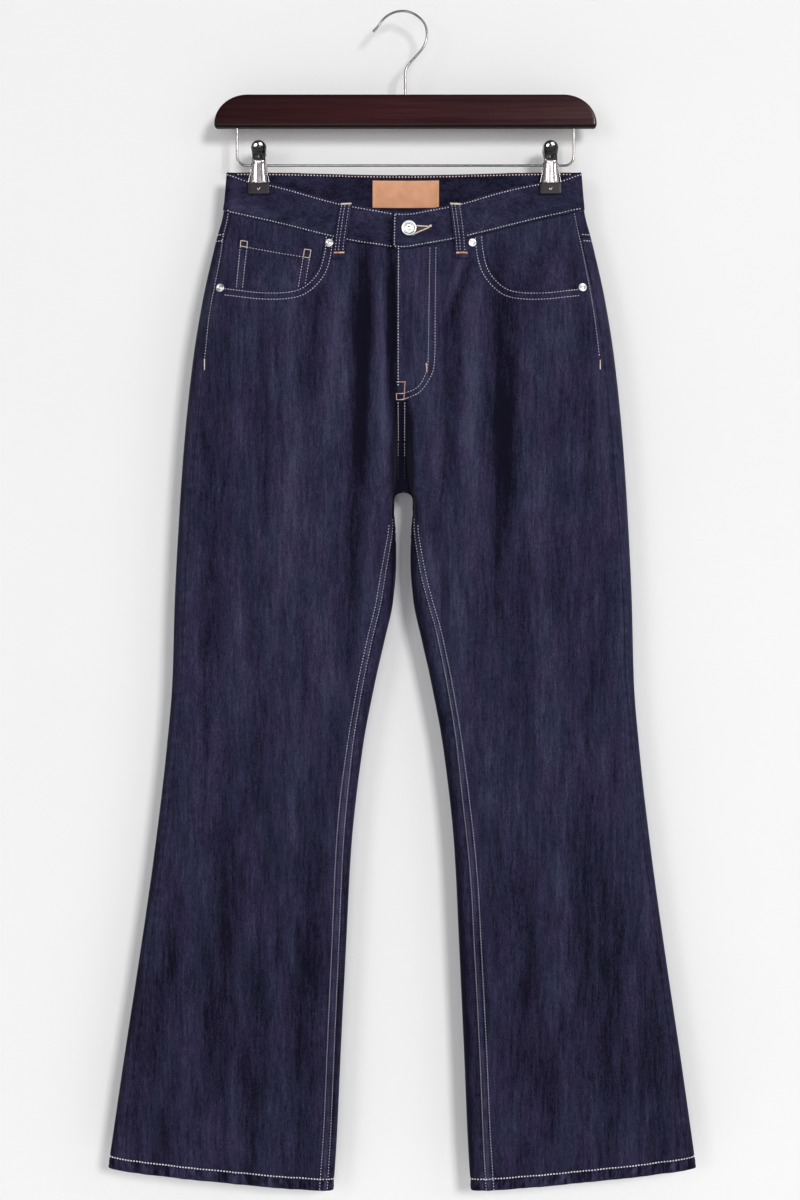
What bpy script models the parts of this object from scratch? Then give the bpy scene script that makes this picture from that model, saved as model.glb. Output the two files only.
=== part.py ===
"""Flared jeans on a clip hanger.

Five-pocket jeans with flared legs hang by the waistband from the two clips of a wooden hanger.
The origin is the inside top of the hook, where the hanger rests on a rail. X runs across, -Y is
the front and Z is up. Sizes here are in millimetres, and a "drop" is a distance below the origin.
"""
import math

import bmesh
import bpy
import numpy as np
from mathutils import Vector

MM = 0.001

# ---------------------------------------------------------------- cloth sizes
GAP = 0.3
DENIM = 1.2
HEM_WALL = 2.8
HEM_DEPTH = 13.5
BAND_WALL = 2.8
BAND_PROUD = 0.8
PATCH_WALL = 1.2
PATCH_GAP = 1.2
LABEL_WALL = 1.0
LOOP_WALL = 1.6
LOOP_HALF_WIDTH = 5.6

# Drops of the edges and seams, at the side of the body unless named otherwise
SIDE_TOP = 172.8
SIDE_SEAM = 213.0
YOKE_SIDE = 242.4
YOKE_FALL = 50.0
YOKE_HALF_WIDTH = 200.0
CROTCH = 516.5
CROTCH_ARCH = 14.0
SEAT_TURN = 466.0
HEM_SIDE = 1241.0
HEM_FALL = 24.5

# The power that makes a section squarer than an ellipse
SECTION_POWER = 2.6

# Rows and columns of the panels: the top edge's line fades out over WAIST_FADE, the hem's
# starts at HEM_FADE_FROM, and the rows at the crotch lie close together
WAIST_FADE = 220.0
HEM_FADE_FROM = 1000.0
CROTCH_ROWS_FROM = 480.0
LEG_ROWS_FROM = 548.0
ABOVE_CROTCH_ROWS = 11
LEG_ROWS = 12
FRONT_COLUMNS = 13
EDGE_CROWDING = 0.07
WRAP_COLUMNS = 19

# Half width and depths of the whole garment at each drop
BODY = (
    # drop, half width, front depth, back depth
    (165.0, 189.4, 29.0, 30.0),
    (215.0, 194.0, 29.0, 31.0),
    (245.0, 201.7, 30.0, 32.0),
    (309.0, 216.0, 30.0, 34.0),
    (373.0, 226.3, 30.0, 34.0),
    (460.0, 235.4, 27.0, 32.0),
    (546.0, 241.3, 24.0, 28.0),
    (632.0, 245.6, 21.0, 25.0),
    (718.0, 248.0, 19.0, 22.0),
    (793.0, 254.2, 18.0, 21.0),
    (900.0, 266.6, 18.0, 20.0),
    (1008.0, 281.7, 18.0, 20.0),
    (1115.0, 297.8, 18.0, 20.0),
    (1212.0, 311.8, 18.0, 19.0),
    (1280.0, 321.5, 18.0, 19.0),
)

# Half of the gap between the legs
LEG_GAP = (
    # drop, half gap
    (500.0, 9.7),
    (538.0, 9.6),
    (560.0, 7.8),
    (589.0, 7.5),
    (632.0, 10.7),
    (675.0, 19.9),
    (718.0, 29.6),
    (793.0, 43.5),
    (900.0, 55.4),
    (1008.0, 60.9),
    (1115.0, 66.1),
    (1212.0, 70.4),
    (1280.0, 74.8),
)

# How far the side seam and the inseam lie in from the folded edges, on the front face
SEAM_INSETS = (
    # drop, side seam left, side seam right, inseam left, inseam right
    (200.0, 7.0, 11.0, 0.6, 0.6),
    (290.0, 11.0, 12.0, 0.6, 0.6),
    (405.0, 14.0, 13.5, 0.6, 0.6),
    (517.0, 13.0, 12.0, 0.6, 0.6),
    (545.0, 12.8, 11.5, 3.5, 3.0),
    (605.0, 12.0, 10.5, 10.0, 10.5),
    (660.0, 11.5, 10.0, 12.0, 17.0),
    (775.0, 10.3, 8.6, 9.6, 13.5),
    (845.0, 9.7, 8.0, 7.8, 11.8),
    (958.0, 10.5, 7.5, 6.2, 14.0),
    (1169.0, 13.0, 9.5, 5.0, 14.8),
    (1280.0, 11.0, 8.0, 4.7, 14.3),
)

# Front edges of the waistband, at distances across from the middle
FRONT_BAND = (
    # across, top edge drop; the first row mirrors the third, so that the middle is level
    (-30.0, 215.7),
    (0.0, 220.4),
    (30.0, 215.7),
    (65.0, 208.4),
    (143.5, 184.4),
    (167.0, 180.2),
    (191.0, 172.8),
)
FRONT_SEAM = (
    # across, lower edge drop
    (-20.0, 254.1),
    (0.0, 256.6),
    (20.0, 254.1),
    (61.7, 247.2),
    (79.0, 242.7),
    (136.5, 226.2),
    (193.0, 213.0),
)

# The waist is pinched flat under the clips and bows apart between them
CLIP_ACROSS = 155.5
PINCH_DEPTH = 3.6
FRONT_BOW = 25.0
BACK_BOW = 13.0
EAR_DEPTH = 2.6
EAR_WIDTH = 18.0
PINCH_HALF_WIDTH = 13.0
PINCH_FROM = 197.0
PINCH_TO = 340.0

# Soft troughs of the cloth; a negative depth is a ridge
FOLDS = (
    # face, across and drop at the top, across and drop at the foot, half width, depth
    (-1, -32.0, 270.0, -28.0, 640.0, 12.0, 3.6),
    (-1, 42.0, 300.0, 46.0, 620.0, 10.0, 3.0),
    (-1, 74.0, 330.0, 84.0, 660.0, 11.0, 2.6),
    (-1, 57.0, 262.0, 40.0, 420.0, 9.0, -2.6),
    (-1, -108.0, 330.0, -120.0, 700.0, 16.0, 2.2),
    (-1, 150.0, 340.0, 160.0, 760.0, 18.0, 2.4),
    (-1, -180.0, 760.0, -205.0, 1190.0, 18.0, 2.6),
    (-1, 190.0, 800.0, 225.0, 1200.0, 20.0, 2.6),
    (-1, -105.0, 900.0, -118.0, 1230.0, 14.0, 2.0),
    (1, -60.0, 300.0, -48.0, 640.0, 14.0, 3.4),
    (1, 66.0, 310.0, 52.0, 620.0, 12.0, 3.0),
    (1, -165.0, 360.0, -172.0, 800.0, 18.0, 2.6),
    (1, 160.0, 420.0, 178.0, 840.0, 17.0, 2.6),
    (1, -190.0, 880.0, -215.0, 1210.0, 18.0, 2.4),
    (1, 150.0, 900.0, 175.0, 1215.0, 17.0, 2.4),
)

# Fly, waistband ends, pocket mouths and patches
FLY_TOP_ACROSS = -7.5
FLY_TOP_DROP = 256.0
FLY_FOOT_ACROSS = -4.3
FLY_FOOT_DROP = 414.0
FLY_FADE = 60.0
BAND_LAP_END = -11.8
BAND_UNDERLAP_END = 14.0
BAND_UNDERLAP_FROM = 50.0
BAND_LAP_SHIFT = 1.6
BAND_LAP_RAMP = 35.0
BAND_TURN_ACROSS = 172.0
BAND_FRONT_COLUMNS = 18
BAND_BACK_COLUMNS = 26
POCKET_MOUTH = (
    # across, drop of the front panel's cut edge
    (214.0, 296.0),
    (196.0, 297.0),
    (171.0, 300.6),
    (151.0, 302.9),
    (127.0, 303.0),
    (111.0, 299.4),
    (98.4, 289.4),
    (90.2, 276.6),
    (86.0, 258.0),
    (84.6, 238.0),
)
MOUTH_CUT_TOP = 195.0
MOUTH_CUT_ACROSS = 240.0
MOUTH_CUT_DEPTH = 60.0
FACING_INNER = 77.0
FACING_FOOT = 310.0
FACING_INSET = 0.8
FACING_SINK = {-1: 3.6, 1: 2.0}
COIN_CORNERS = (
    # across and drop at the top, across and drop at the foot
    (-176.4, 245.5, -180.6, 306.0),
    (-98.4, 257.4, -104.8, 309.0),
)
COIN_SINK = 1.8
COIN_WALL = 1.2
BACK_POCKET_ACROSS = 104.0
BACK_POCKET_TOP = 322.0
BACK_POCKET_SIDE = 138.0
BACK_POCKET_POINT = 22.0
BACK_POCKET_HALF_WIDTHS = (76.0, 66.0)
BACK_POCKET_TILT = 5.0
LABEL_CENTRE = (2.6, 196.8)
LABEL_HALF = (35.9, 15.9)
LOOP_LENGTH = 57.0
LOOP_RISE = 1.0
LOOP_BAND_SHARE = 0.62
LOOP_BAND_RAMP = 0.3
LOOPS = (
    # name, face, across at the top, across at the foot
    ("front_left", -1, -60.5, -69.5),
    ("front_right", -1, 53.6, 61.6),
    ("back_left", 1, -118.0, -118.0),
    ("back_middle", 1, 0.0, 0.0),
    ("back_right", 1, 118.0, 118.0),
)
LOOP_STAND_OFF = (
    # share of the length, distance of the loop's underside from the body
    (0.0, 1.2),
    (0.12, 2.6),
    (0.4, 3.3),
    (0.7, 2.8),
    (0.9, 1.2),
    (1.0, 0.4),
)

# ---------------------------------------------------------------- metal trim
BUTTON_PLACE = (5.1, 237.7)
BUTTON_RADIUS = 8.2
BUTTON_HEIGHT = 3.6
RIVET_RADIUS = 4.3
RIVET_HEIGHT = 1.9
RIVETS = (
    # name, across, drop
    ("left_outer", -195.7, 298.8),
    ("left_inner", -79.3, 251.4),
    ("right_inner", 72.6, 251.4),
    ("right_outer", 190.4, 298.4),
)

# ---------------------------------------------------------------- hanger sizes
HANGER_ACROSS = 1.5
BAR_HALF_LENGTH = 205.3
BAR_TOP = 89.2
BAR_FOOT = 124.2
BAR_THICKNESS = 13.0
BAR_SHOULDER = (36.0, 32.0)
BAR_CORNER = 3.0
BAR_EDGE = 1.6
HOLE_DEPTH = 16.0
WIRE_HALF = 1.45
WIRE_IN_HOLE = 15.0
HOOK_CENTRE = (-1.6, 26.4)
HOOK_BEND = (-38.0, 146.0)
HOOK_TIP = (-33.2, 20.6)
HOOK_NECK_DROP = 63.0
RAIL_HALF_LENGTH = 180.0
RAIL_DROP = 164.6
RAIL_CORNER = 10.0

CLIPS = (("left", -155.7), ("right", 157.2))
PAD_TOP = 183.6
PAD_FOOT = 196.6
PAD_HALF_WIDTH = 11.8
PAD_WALL = 3.4
PAD_GAP = 4.6
PAD_ROUNDING = 0.8
JAW_WALL = 1.1
JAW_CROWN = 1.6
BARREL_RADIUS = 4.9
BARREL_LENGTH = 13.4
JAW = (
    # drop, distance out from the hanger's plane, half width
    (137.6, 6.6, 1.9),
    (138.8, 7.9, 4.8),
    (141.6, 9.6, 7.2),
    (145.6, 10.4, 7.9),
    (149.8, 9.8, 7.2),
    (153.6, 8.2, 6.4),
    (158.6, 6.2, 6.7),
    (164.6, 5.3, 7.1),
    (170.6, 5.6, 7.2),
    (177.0, 7.0, 7.5),
    (181.0, 8.4, 8.6),
    (184.4, 8.7, 10.6),
    (188.5, 8.7, 10.9),
)

# ---------------------------------------------------------------- curves and the body's surface


def smooth(x, rows, column=1):
    """Read a column of a table along a smooth curve that never overshoots its rows."""
    table = np.array(rows, dtype=float)
    xs, ys = table[:, 0], table[:, column]
    step = np.diff(xs)
    rise = np.diff(ys) / step
    slope = np.zeros_like(ys)
    slope[0], slope[-1] = rise[0], rise[-1]
    same = rise[:-1] * rise[1:] > 0
    total = np.where(same, rise[:-1] + rise[1:], 1.0)
    slope[1:-1] = np.where(same, 2 * rise[:-1] * rise[1:] / total, 0.0)
    x = np.clip(np.asarray(x, dtype=float), xs[0], xs[-1])
    i = np.clip(np.searchsorted(xs, x) - 1, 0, len(xs) - 2)
    t = (x - xs[i]) / step[i]
    start = (2 * t**3 - 3 * t**2 + 1) * ys[i] + (t**3 - 2 * t**2 + t) * step[i] * slope[i]
    end = (3 * t**2 - 2 * t**3) * ys[i + 1] + (t**3 - t**2) * step[i] * slope[i + 1]
    return start + end


def ease(t):
    """Rise smoothly from 0 to 1 while t does."""
    t = np.clip(t, 0.0, 1.0)
    return t * t * (3 - 2 * t)


def half_gap(drop):
    """Inner half width: next to nothing above the crotch, then the round arch and the leg gap."""
    t = np.clip((drop - CROTCH) / CROTCH_ARCH, 0.0, 1.0)
    arch = np.sqrt(1 - (1 - t) ** 2)
    return np.maximum(smooth(drop, LEG_GAP) * arch, GAP / 2)


def section(drop):
    """Middle and half width of one leg, or of one half of the body, at a drop."""
    outer = smooth(drop, BODY)
    inner = half_gap(drop)
    return (outer + inner) / 2, (outer - inner) / 2


def centre_share(drop):
    """How much of the depth is left at the middle seam, which turns under at the crotch."""
    t = np.clip((drop - SEAT_TURN) / (CROTCH - SEAT_TURN), 0.0, 1.0)
    return np.sqrt(1 - t**2)


def pinch(face, across):
    """Depth of the waist, flat under the clips and bowed between them."""
    inside = np.minimum(across / (CLIP_ACROSS - PINCH_HALF_WIDTH), 1.0)
    bow = np.where(face < 0, FRONT_BOW, BACK_BOW)
    middle = bow * np.cos(np.pi / 2 * inside) ** 1.5
    ear = EAR_DEPTH * ease((across - CLIP_ACROSS - PINCH_HALF_WIDTH) / EAR_WIDTH)
    return PINCH_DEPTH + middle + ear


def fold_depth(face, x, drop):
    """Depth of all soft troughs at a place."""
    total = np.zeros(np.broadcast(x, drop).shape)
    for fold_face, x_top, top, x_foot, foot, half_width, depth in FOLDS:
        t = (drop - top) / (foot - top)
        middle = x_top + (x_foot - x_top) * t
        along = np.sin(np.pi * np.clip(t, 0.0, 1.0))
        shape = np.exp(-(((x - middle) / half_width) ** 2)) * along
        total = total + np.where(face == fold_face, depth * shape, 0.0)
    return total


def fullness(face, x, drop):
    """Depth of the loose cloth at its fullest, and the depth that its soft troughs take away."""
    loose = np.where(face < 0, smooth(drop, BODY, 2), smooth(drop, BODY, 3))
    held = 1 - ease((drop - PINCH_FROM) / (PINCH_TO - PINCH_FROM))
    return loose * (1 - held) + pinch(face, np.abs(x)) * held, fold_depth(face, x, drop)


def middle_share(x, drop):
    """Share of the depth kept at the middle seam, on the inner half of a section."""
    return np.where(np.abs(x) < section(drop)[0], centre_share(drop), 0.0)


def body_depth(face, x, drop):
    """Distance of the cloth's outside from the hanger's plane; face is -1 front or 1 back."""
    middle, half = section(drop)
    share = np.clip(1 - np.abs((np.abs(x) - middle) / half) ** SECTION_POWER, 0.0, 1.0)
    share = share ** (1 / SECTION_POWER)
    full, folds = fullness(face, x, drop)
    centre = middle_share(x, drop)
    return full * (centre + (1 - centre) * share) - folds * share


def edge_level(face, x, y, drop):
    """A value that is the same all over the cloth, also where it turns at its folded edges."""
    middle, half = section(drop)
    full, folds = fullness(face, x, drop)
    centre = middle_share(x, drop)
    room = np.maximum(full * (1 - centre) - folds, 0.001)
    share = np.maximum((np.abs(y) - full * centre) / room, 0.0)
    return share**SECTION_POWER + np.abs((np.abs(x) - middle) / half) ** SECTION_POWER


def body_normal(face, x, y, drop):
    """Outward direction: from the depth on the faces, and from the level at the folded edges."""
    step = 0.4

    def slope(value, dx, dy, dz):
        after = value(x + dx * step, y + dy * step, drop + dz * step)
        return (after - value(x - dx * step, y - dy * step, drop - dz * step)) / (2 * step)

    def level(at_x, at_y, at_drop):
        return edge_level(face, at_x, at_y, at_drop)

    def depth(at_x, at_y, at_drop):
        return body_depth(face, at_x, at_drop)

    steep = np.abs(y) < 0.35 * fullness(face, x, drop)[0]
    on_face = np.stack([-slope(depth, 1, 0, 0), face + 0.0 * y, slope(depth, 0, 0, 1)], axis=-1)
    on_edge = np.stack([slope(level, 1, 0, 0), slope(level, 0, 1, 0), -slope(level, 0, 0, 1)], axis=-1)
    normal = np.where(steep[..., None], on_edge, on_face)
    return normal / np.maximum(np.linalg.norm(normal, axis=-1, keepdims=True), 1e-9)


def body_point(face, x, drop, out=0.0):
    """Place on the cloth, moved out along its normal."""
    face, x, drop, out = np.broadcast_arrays(face, x, drop, out)
    y = face * body_depth(face, x, drop)
    return np.stack([x, y, -drop], axis=-1) + body_normal(face, x, y, drop) * out[..., None]


def edge_angle(inset, drop):
    """Angle round the section from its folded edge to a seam that lies inset from that edge."""
    half = section(drop)[1]
    return np.arccos(np.clip(1 - inset / half, 0.0, 1.0) ** (SECTION_POWER / 2))


def ring_place(side, angle, drop):
    """Face and x at an angle: 0 at the side fold, towards the back, pi at the inner edge."""
    middle, half = section(drop)
    turn = np.cos(angle)
    x = middle + half * np.sign(turn) * np.abs(turn) ** (2 / SECTION_POWER)
    return np.where(np.sin(angle) >= 0, 1, -1), side * x


def seam_inset(side, inner, drop):
    """Inset of the side seam or the inseam on one side."""
    column = (3 if inner else 1) + (1 if side > 0 else 0)
    return smooth(drop, SEAM_INSETS, column)


# ---------------------------------------------------------------- the edges of the pieces


def band_top(face, x):
    """Drop of the waistband's top edge."""
    return np.where(face < 0, smooth(np.abs(x), FRONT_BAND), SIDE_TOP)


def waist_seam(face, x):
    """Drop of the seam under the waistband."""
    return np.where(face < 0, smooth(np.abs(x), FRONT_SEAM), SIDE_SEAM)


def yoke_seam(face, x):
    """Drop of the yoke's lower seam, a shallow V on the back."""
    fall = YOKE_FALL * np.clip(1 - np.abs(x) / YOKE_HALF_WIDTH, 0.0, 1.0)
    return YOKE_SIDE + np.where(face > 0, fall, 0.0)


def hem_fall(x, drop):
    """How much lower the hem lies than at the side fold."""
    middle, half = section(drop)
    return HEM_FALL * np.clip((middle + half - np.abs(x)) / (2 * half), 0.0, 1.0)


def row_drop(face, x, level, top_level, top_edge):
    """Drop of a row at x: it follows the panel's top edge above and the hem below."""
    near_top = 1 - ease((level - top_level) / WAIST_FADE)
    near_hem = ease((level - HEM_FADE_FROM) / (HEM_SIDE - HEM_FADE_FROM))
    return level + near_top * (top_edge(face, x) - top_level) + near_hem * hem_fall(x, level)


def levels(start):
    """Row heights at the side seam, close together at the crotch and the hem."""
    turn = CROTCH - (CROTCH - CROTCH_ROWS_FROM) * np.cos(np.linspace(0.0, np.pi / 2, 6)) ** 1.5
    arch = CROTCH + CROTCH_ARCH * (1 - np.cos(np.linspace(0.0, np.pi / 2, 5)[1:])) + 0.8
    hem = HEM_SIDE - HEM_DEPTH
    return np.concatenate([
        np.linspace(start, CROTCH_ROWS_FROM, ABOVE_CROTCH_ROWS)[:-1],
        turn,
        arch,
        np.linspace(LEG_ROWS_FROM, hem - 6.0, LEG_ROWS),
        [hem, hem + 3.0, HEM_SIDE],
    ])


# ---------------------------------------------------------------- making objects


def new_collection(name):
    """A collection in the scene."""
    collection = bpy.data.collections.new(name)
    bpy.context.scene.collection.children.link(collection)
    return collection


def make_material(name, colour, roughness, metallic=0.0):
    """A plain material of one colour."""
    material = bpy.data.materials.new(name)
    material.use_nodes = True
    shader = material.node_tree.nodes["Principled BSDF"]
    shader.inputs["Base Color"].default_value = (*colour, 1.0)
    shader.inputs["Roughness"].default_value = roughness
    shader.inputs["Metallic"].default_value = metallic
    material.diffuse_color = (*colour, 1.0)
    return material


def mesh_object(name, mesh, material, collection):
    """An object of a mesh with its one material."""
    obj = bpy.data.objects.new(name, mesh)
    collection.objects.link(obj)
    obj.data.materials.clear()
    obj.data.materials.append(material)
    return obj


def wall_mesh(name, outside, inside):
    """Closed wall between two grids of points in millimetres."""
    rows, columns = outside.shape[:2]
    shape = bmesh.new()
    outer, inner = (
        [shape.verts.new(Vector(point) * MM) for point in grid.reshape(-1, 3)] for grid in (outside, inside)
    )
    for row in range(rows - 1):
        for column in range(columns - 1):
            a = row * columns + column
            corners = (a, a + 1, a + columns + 1, a + columns)
            shape.faces.new([outer[i] for i in corners])
            shape.faces.new([inner[i] for i in reversed(corners)])
    last = (rows - 1) * columns
    rim = [*range(columns), *range(2 * columns - 1, last, columns), *range(last + columns - 1, last - 1, -1)]
    rim += range(last - columns, 0, -columns)
    for a, b in zip(rim, rim[1:] + rim[:1]):
        shape.faces.new((outer[b], outer[a], inner[a], inner[b]))
    bmesh.ops.recalc_face_normals(shape, faces=shape.faces)
    mesh = bpy.data.meshes.new(name)
    shape.to_mesh(mesh)
    shape.free()
    mesh.shade_smooth()
    mesh.set_sharp_from_angle(angle=math.radians(50.0))
    return mesh


def cloth(name, places, thickness, material, collection, out=0.0):
    """A cloth wall on the body: its outside stands out from the places, its inside lies behind."""
    face, x, drop = np.broadcast_arrays(*places)
    outside = body_point(face, x, drop, out)
    inside = body_point(face, x, drop, out - thickness)
    return mesh_object(name, wall_mesh(name, outside, inside), material, collection)


def cut(obj, cutter):
    """Take a cutter's shape out of an object."""
    boolean = obj.modifiers.new("Cut", "BOOLEAN")
    boolean.operation = "DIFFERENCE"
    boolean.object = cutter


def prism(name, outline, depth, collection):
    """A cutter: a flat outline in X and Z, run through from front to back."""
    shape = bmesh.new()
    face = shape.faces.new([shape.verts.new((x * MM, -depth * MM, -drop * MM)) for x, drop in outline])
    made = bmesh.ops.extrude_face_region(shape, geom=[face])["geom"]
    moved = [v for v in made if isinstance(v, bmesh.types.BMVert)]
    bmesh.ops.translate(shape, verts=moved, vec=(0.0, 2 * depth * MM, 0.0))
    bmesh.ops.recalc_face_normals(shape, faces=shape.faces)
    mesh = bpy.data.meshes.new(name)
    shape.to_mesh(mesh)
    shape.free()
    return as_cutter(bpy.data.objects.new(name, mesh), collection)


def as_cutter(obj, collection):
    """Show an object as a cutter, in the cutters' collection only."""
    move_to(obj, collection)
    obj.hide_render = True
    obj.display_type = "WIRE"
    return obj


def move_to(obj, collection):
    """Link an object to one collection and no other."""
    for owner in list(obj.users_collection):
        owner.objects.unlink(obj)
    collection.objects.link(obj)


# ---------------------------------------------------------------- cloth pieces


def fly_edge(drop):
    """Where the right front laps over the left one, and the centre seam below it."""
    t = np.clip((drop - FLY_TOP_DROP) / (FLY_FOOT_DROP - FLY_TOP_DROP), 0.0, 1.0)
    fly = FLY_TOP_ACROSS + (FLY_FOOT_ACROSS - FLY_TOP_ACROSS) * t
    return fly * (1 - ease((drop - FLY_FOOT_DROP) / FLY_FADE))


def panel_wall(rows, columns):
    """Thickness of a leg panel, more over the turned-up hem in its last two rows."""
    thickness = np.full((rows, columns), DENIM)
    thickness[-2:] = HEM_WALL
    return thickness


def front_places(side):
    """A front panel, from the fly or the inseam to the side seam."""
    rows = levels(SIDE_SEAM + GAP)[:, None]
    along = np.linspace(0.0, 1.0, FRONT_COLUMNS)[None, :]
    share = along - EDGE_CROWDING * np.sin(2 * np.pi * along)
    drop = rows + 0.0 * share
    for _ in range(3):
        edge = side * fly_edge(drop) + GAP / 2
        inner = half_gap(drop) + seam_inset(side, True, drop) + GAP / 2
        start = np.where(rows < CROTCH - 0.01, edge, inner)
        end = smooth(drop, BODY) - seam_inset(side, False, drop) - GAP / 2
        x = side * (start + (end - start) * share)
        drop = row_drop(-1, x, rows, SIDE_SEAM, waist_seam)
    return -1, x, drop


def wrap_places(side, rows, drop_of):
    """A back piece, from the side seam round the back to the middle or the inseam."""
    share = np.linspace(0.0, 1.0, WRAP_COLUMNS)[None, :]
    drop = np.maximum(rows, SIDE_SEAM) + 0.0 * share
    for _ in range(4):
        start = -edge_angle(seam_inset(side, False, drop) - GAP / 2, drop)
        past = edge_angle(seam_inset(side, True, drop) - GAP / 2, drop)
        end = np.pi + np.where(drop < CROTCH - 0.01, 0.0, past)
        face, x = ring_place(side, start + (end - start) * share, drop)
        drop = drop_of(face, x)
    return face, x, drop


def back_places(side):
    """A back panel, from the yoke down to the hem."""
    rows = levels(YOKE_SIDE + GAP)[:, None]
    return wrap_places(side, rows, lambda face, x: row_drop(face, x, rows, YOKE_SIDE, yoke_seam))


def yoke_places(side):
    """A yoke piece, between the waistband and the back panel."""
    down = np.linspace(0.0, 1.0, 4)[:, None]

    def drop_of(face, x):
        top = waist_seam(face, x) + GAP
        return top + (yoke_seam(face, x) - top) * down

    return wrap_places(side, SIDE_SEAM + (YOKE_SIDE - SIDE_SEAM) * down, drop_of)


def band_places():
    """The waistband, from its underlapping end round the back to its lapping end, and its lap."""
    turn = BAND_TURN_ACROSS
    front_left = np.linspace(BAND_UNDERLAP_END, -turn, BAND_FRONT_COLUMNS)[:-1]
    front_right = np.linspace(turn, BAND_LAP_END, BAND_FRONT_COLUMNS)[1:]
    back = np.linspace(-turn, turn, BAND_BACK_COLUMNS)[1:-1]
    round_fold = np.array([-1.0, -0.66, -0.3, 0.0, 0.3, 0.66, 1.0])
    down = np.linspace(0.0, 1.0, 4)[:, None]
    drop = SIDE_TOP + (SIDE_SEAM - SIDE_TOP) * down + 0.0 * round_fold
    for _ in range(3):
        angle = round_fold * edge_angle(smooth(drop, BODY) - turn, drop)
        fold_face, fold_x = ring_place(1, angle, drop)
        drop = band_top(fold_face, fold_x)
        drop = drop + down * (waist_seam(fold_face, fold_x) - drop)
    strips = (
        (-1, front_left),
        (fold_face, -fold_x),
        (1, back),
        (fold_face[:, ::-1], fold_x[:, ::-1]),
        (-1, front_right),
    )
    grids = [np.broadcast_arrays(strip_face, strip_x, down)[:2] for strip_face, strip_x in strips]
    face, x = (np.concatenate(parts, axis=1) for parts in zip(*grids))
    high = band_top(face, x)
    drop = high + down * (waist_seam(face, x) - high)
    under = -BAND_LAP_SHIFT * ease((front_left + BAND_UNDERLAP_FROM) / BAND_LAP_RAMP)
    over = BAND_LAP_SHIFT * (1 - ease((front_right - BAND_UNDERLAP_END - 1.0) / BAND_LAP_RAMP))
    between = np.zeros(x.shape[1] - len(under) - len(over))
    return (face, x, drop), np.concatenate([under, between, over])


def facing_places(side):
    """The cloth seen inside a front pocket's mouth."""
    down = np.linspace(0.0, 1.0, 7)[:, None]
    along = np.linspace(0.0, 1.0, 8)[None, :]
    drop = np.full((7, 8), (SIDE_SEAM + FACING_FOOT) / 2)
    for _ in range(3):
        end = smooth(drop, BODY) - seam_inset(side, False, drop) - FACING_INSET
        x = FACING_INNER + (end - FACING_INNER) * along
        top = waist_seam(-1, x) + 2 * GAP
        drop = top + (FACING_FOOT - top) * down
    return -1, side * x, drop


def coin_places():
    """The coin pocket, a four-sided patch behind the left pocket mouth."""
    down = np.linspace(0.0, 1.0, 6)[:, None]
    along = np.linspace(0.0, 1.0, 6)[None, :]
    (x0, top0, x1, foot0), (x2, top2, x3, foot2) = COIN_CORNERS
    left_x, left_drop = x0 + (x1 - x0) * down, top0 + (foot0 - top0) * down
    right_x, right_drop = x2 + (x3 - x2) * down, top2 + (foot2 - top2) * down
    return -1, left_x + (right_x - left_x) * along, left_drop + (right_drop - left_drop) * along


def back_pocket_places(side):
    """A plain five-sided patch, set a little askew on the seat."""
    down = np.linspace(0.0, 1.0, 9)[:, None]
    along = np.linspace(-1.0, 1.0, 9)[None, :]
    wide, narrow = BACK_POCKET_HALF_WIDTHS
    x = BACK_POCKET_ACROSS + along * (wide + (narrow - wide) * down)
    length = BACK_POCKET_SIDE + BACK_POCKET_POINT * (1 - np.abs(along))
    return 1, side * x, BACK_POCKET_TOP - BACK_POCKET_TILT * along + length * down


def label_places():
    """The label, inside the waistband at the middle of the back."""
    x = LABEL_CENTRE[0] + LABEL_HALF[0] * np.linspace(-1.0, 1.0, 9)[None, :]
    drop = LABEL_CENTRE[1] + LABEL_HALF[1] * np.linspace(-1.0, 1.0, 3)[:, None]
    return 1, x, drop


def loop_places(face, x_top, x_foot):
    """A belt loop, and how far its outside stands from the body."""
    share = np.linspace(0.0, 1.0, 12)[:, None]
    across = np.linspace(-1.0, 1.0, 3)[None, :]
    x = x_top + (x_foot - x_top) * share + across * LOOP_HALF_WIDTH
    drop = band_top(face, x_top) - LOOP_RISE + LOOP_LENGTH * share + 0.0 * across
    over_band = 1 - ease((share - LOOP_BAND_SHARE) / LOOP_BAND_RAMP)
    out = smooth(share, LOOP_STAND_OFF) + BAND_PROUD * over_band + LOOP_WALL
    return (face, x, drop), out


def mouth_cutter(side, collection):
    """The corner that a front pocket's mouth takes off its panel."""
    (_, foot), (inner, _) = POCKET_MOUTH[0], POCKET_MOUTH[-1]
    corner = ((inner, MOUTH_CUT_TOP), (MOUTH_CUT_ACROSS, MOUTH_CUT_TOP), (MOUTH_CUT_ACROSS, foot))
    outline = [(side * x, drop) for x, drop in POCKET_MOUTH + corner]
    return prism(f"mouth_cutter_{side}", outline, MOUTH_CUT_DEPTH, collection)


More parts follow.
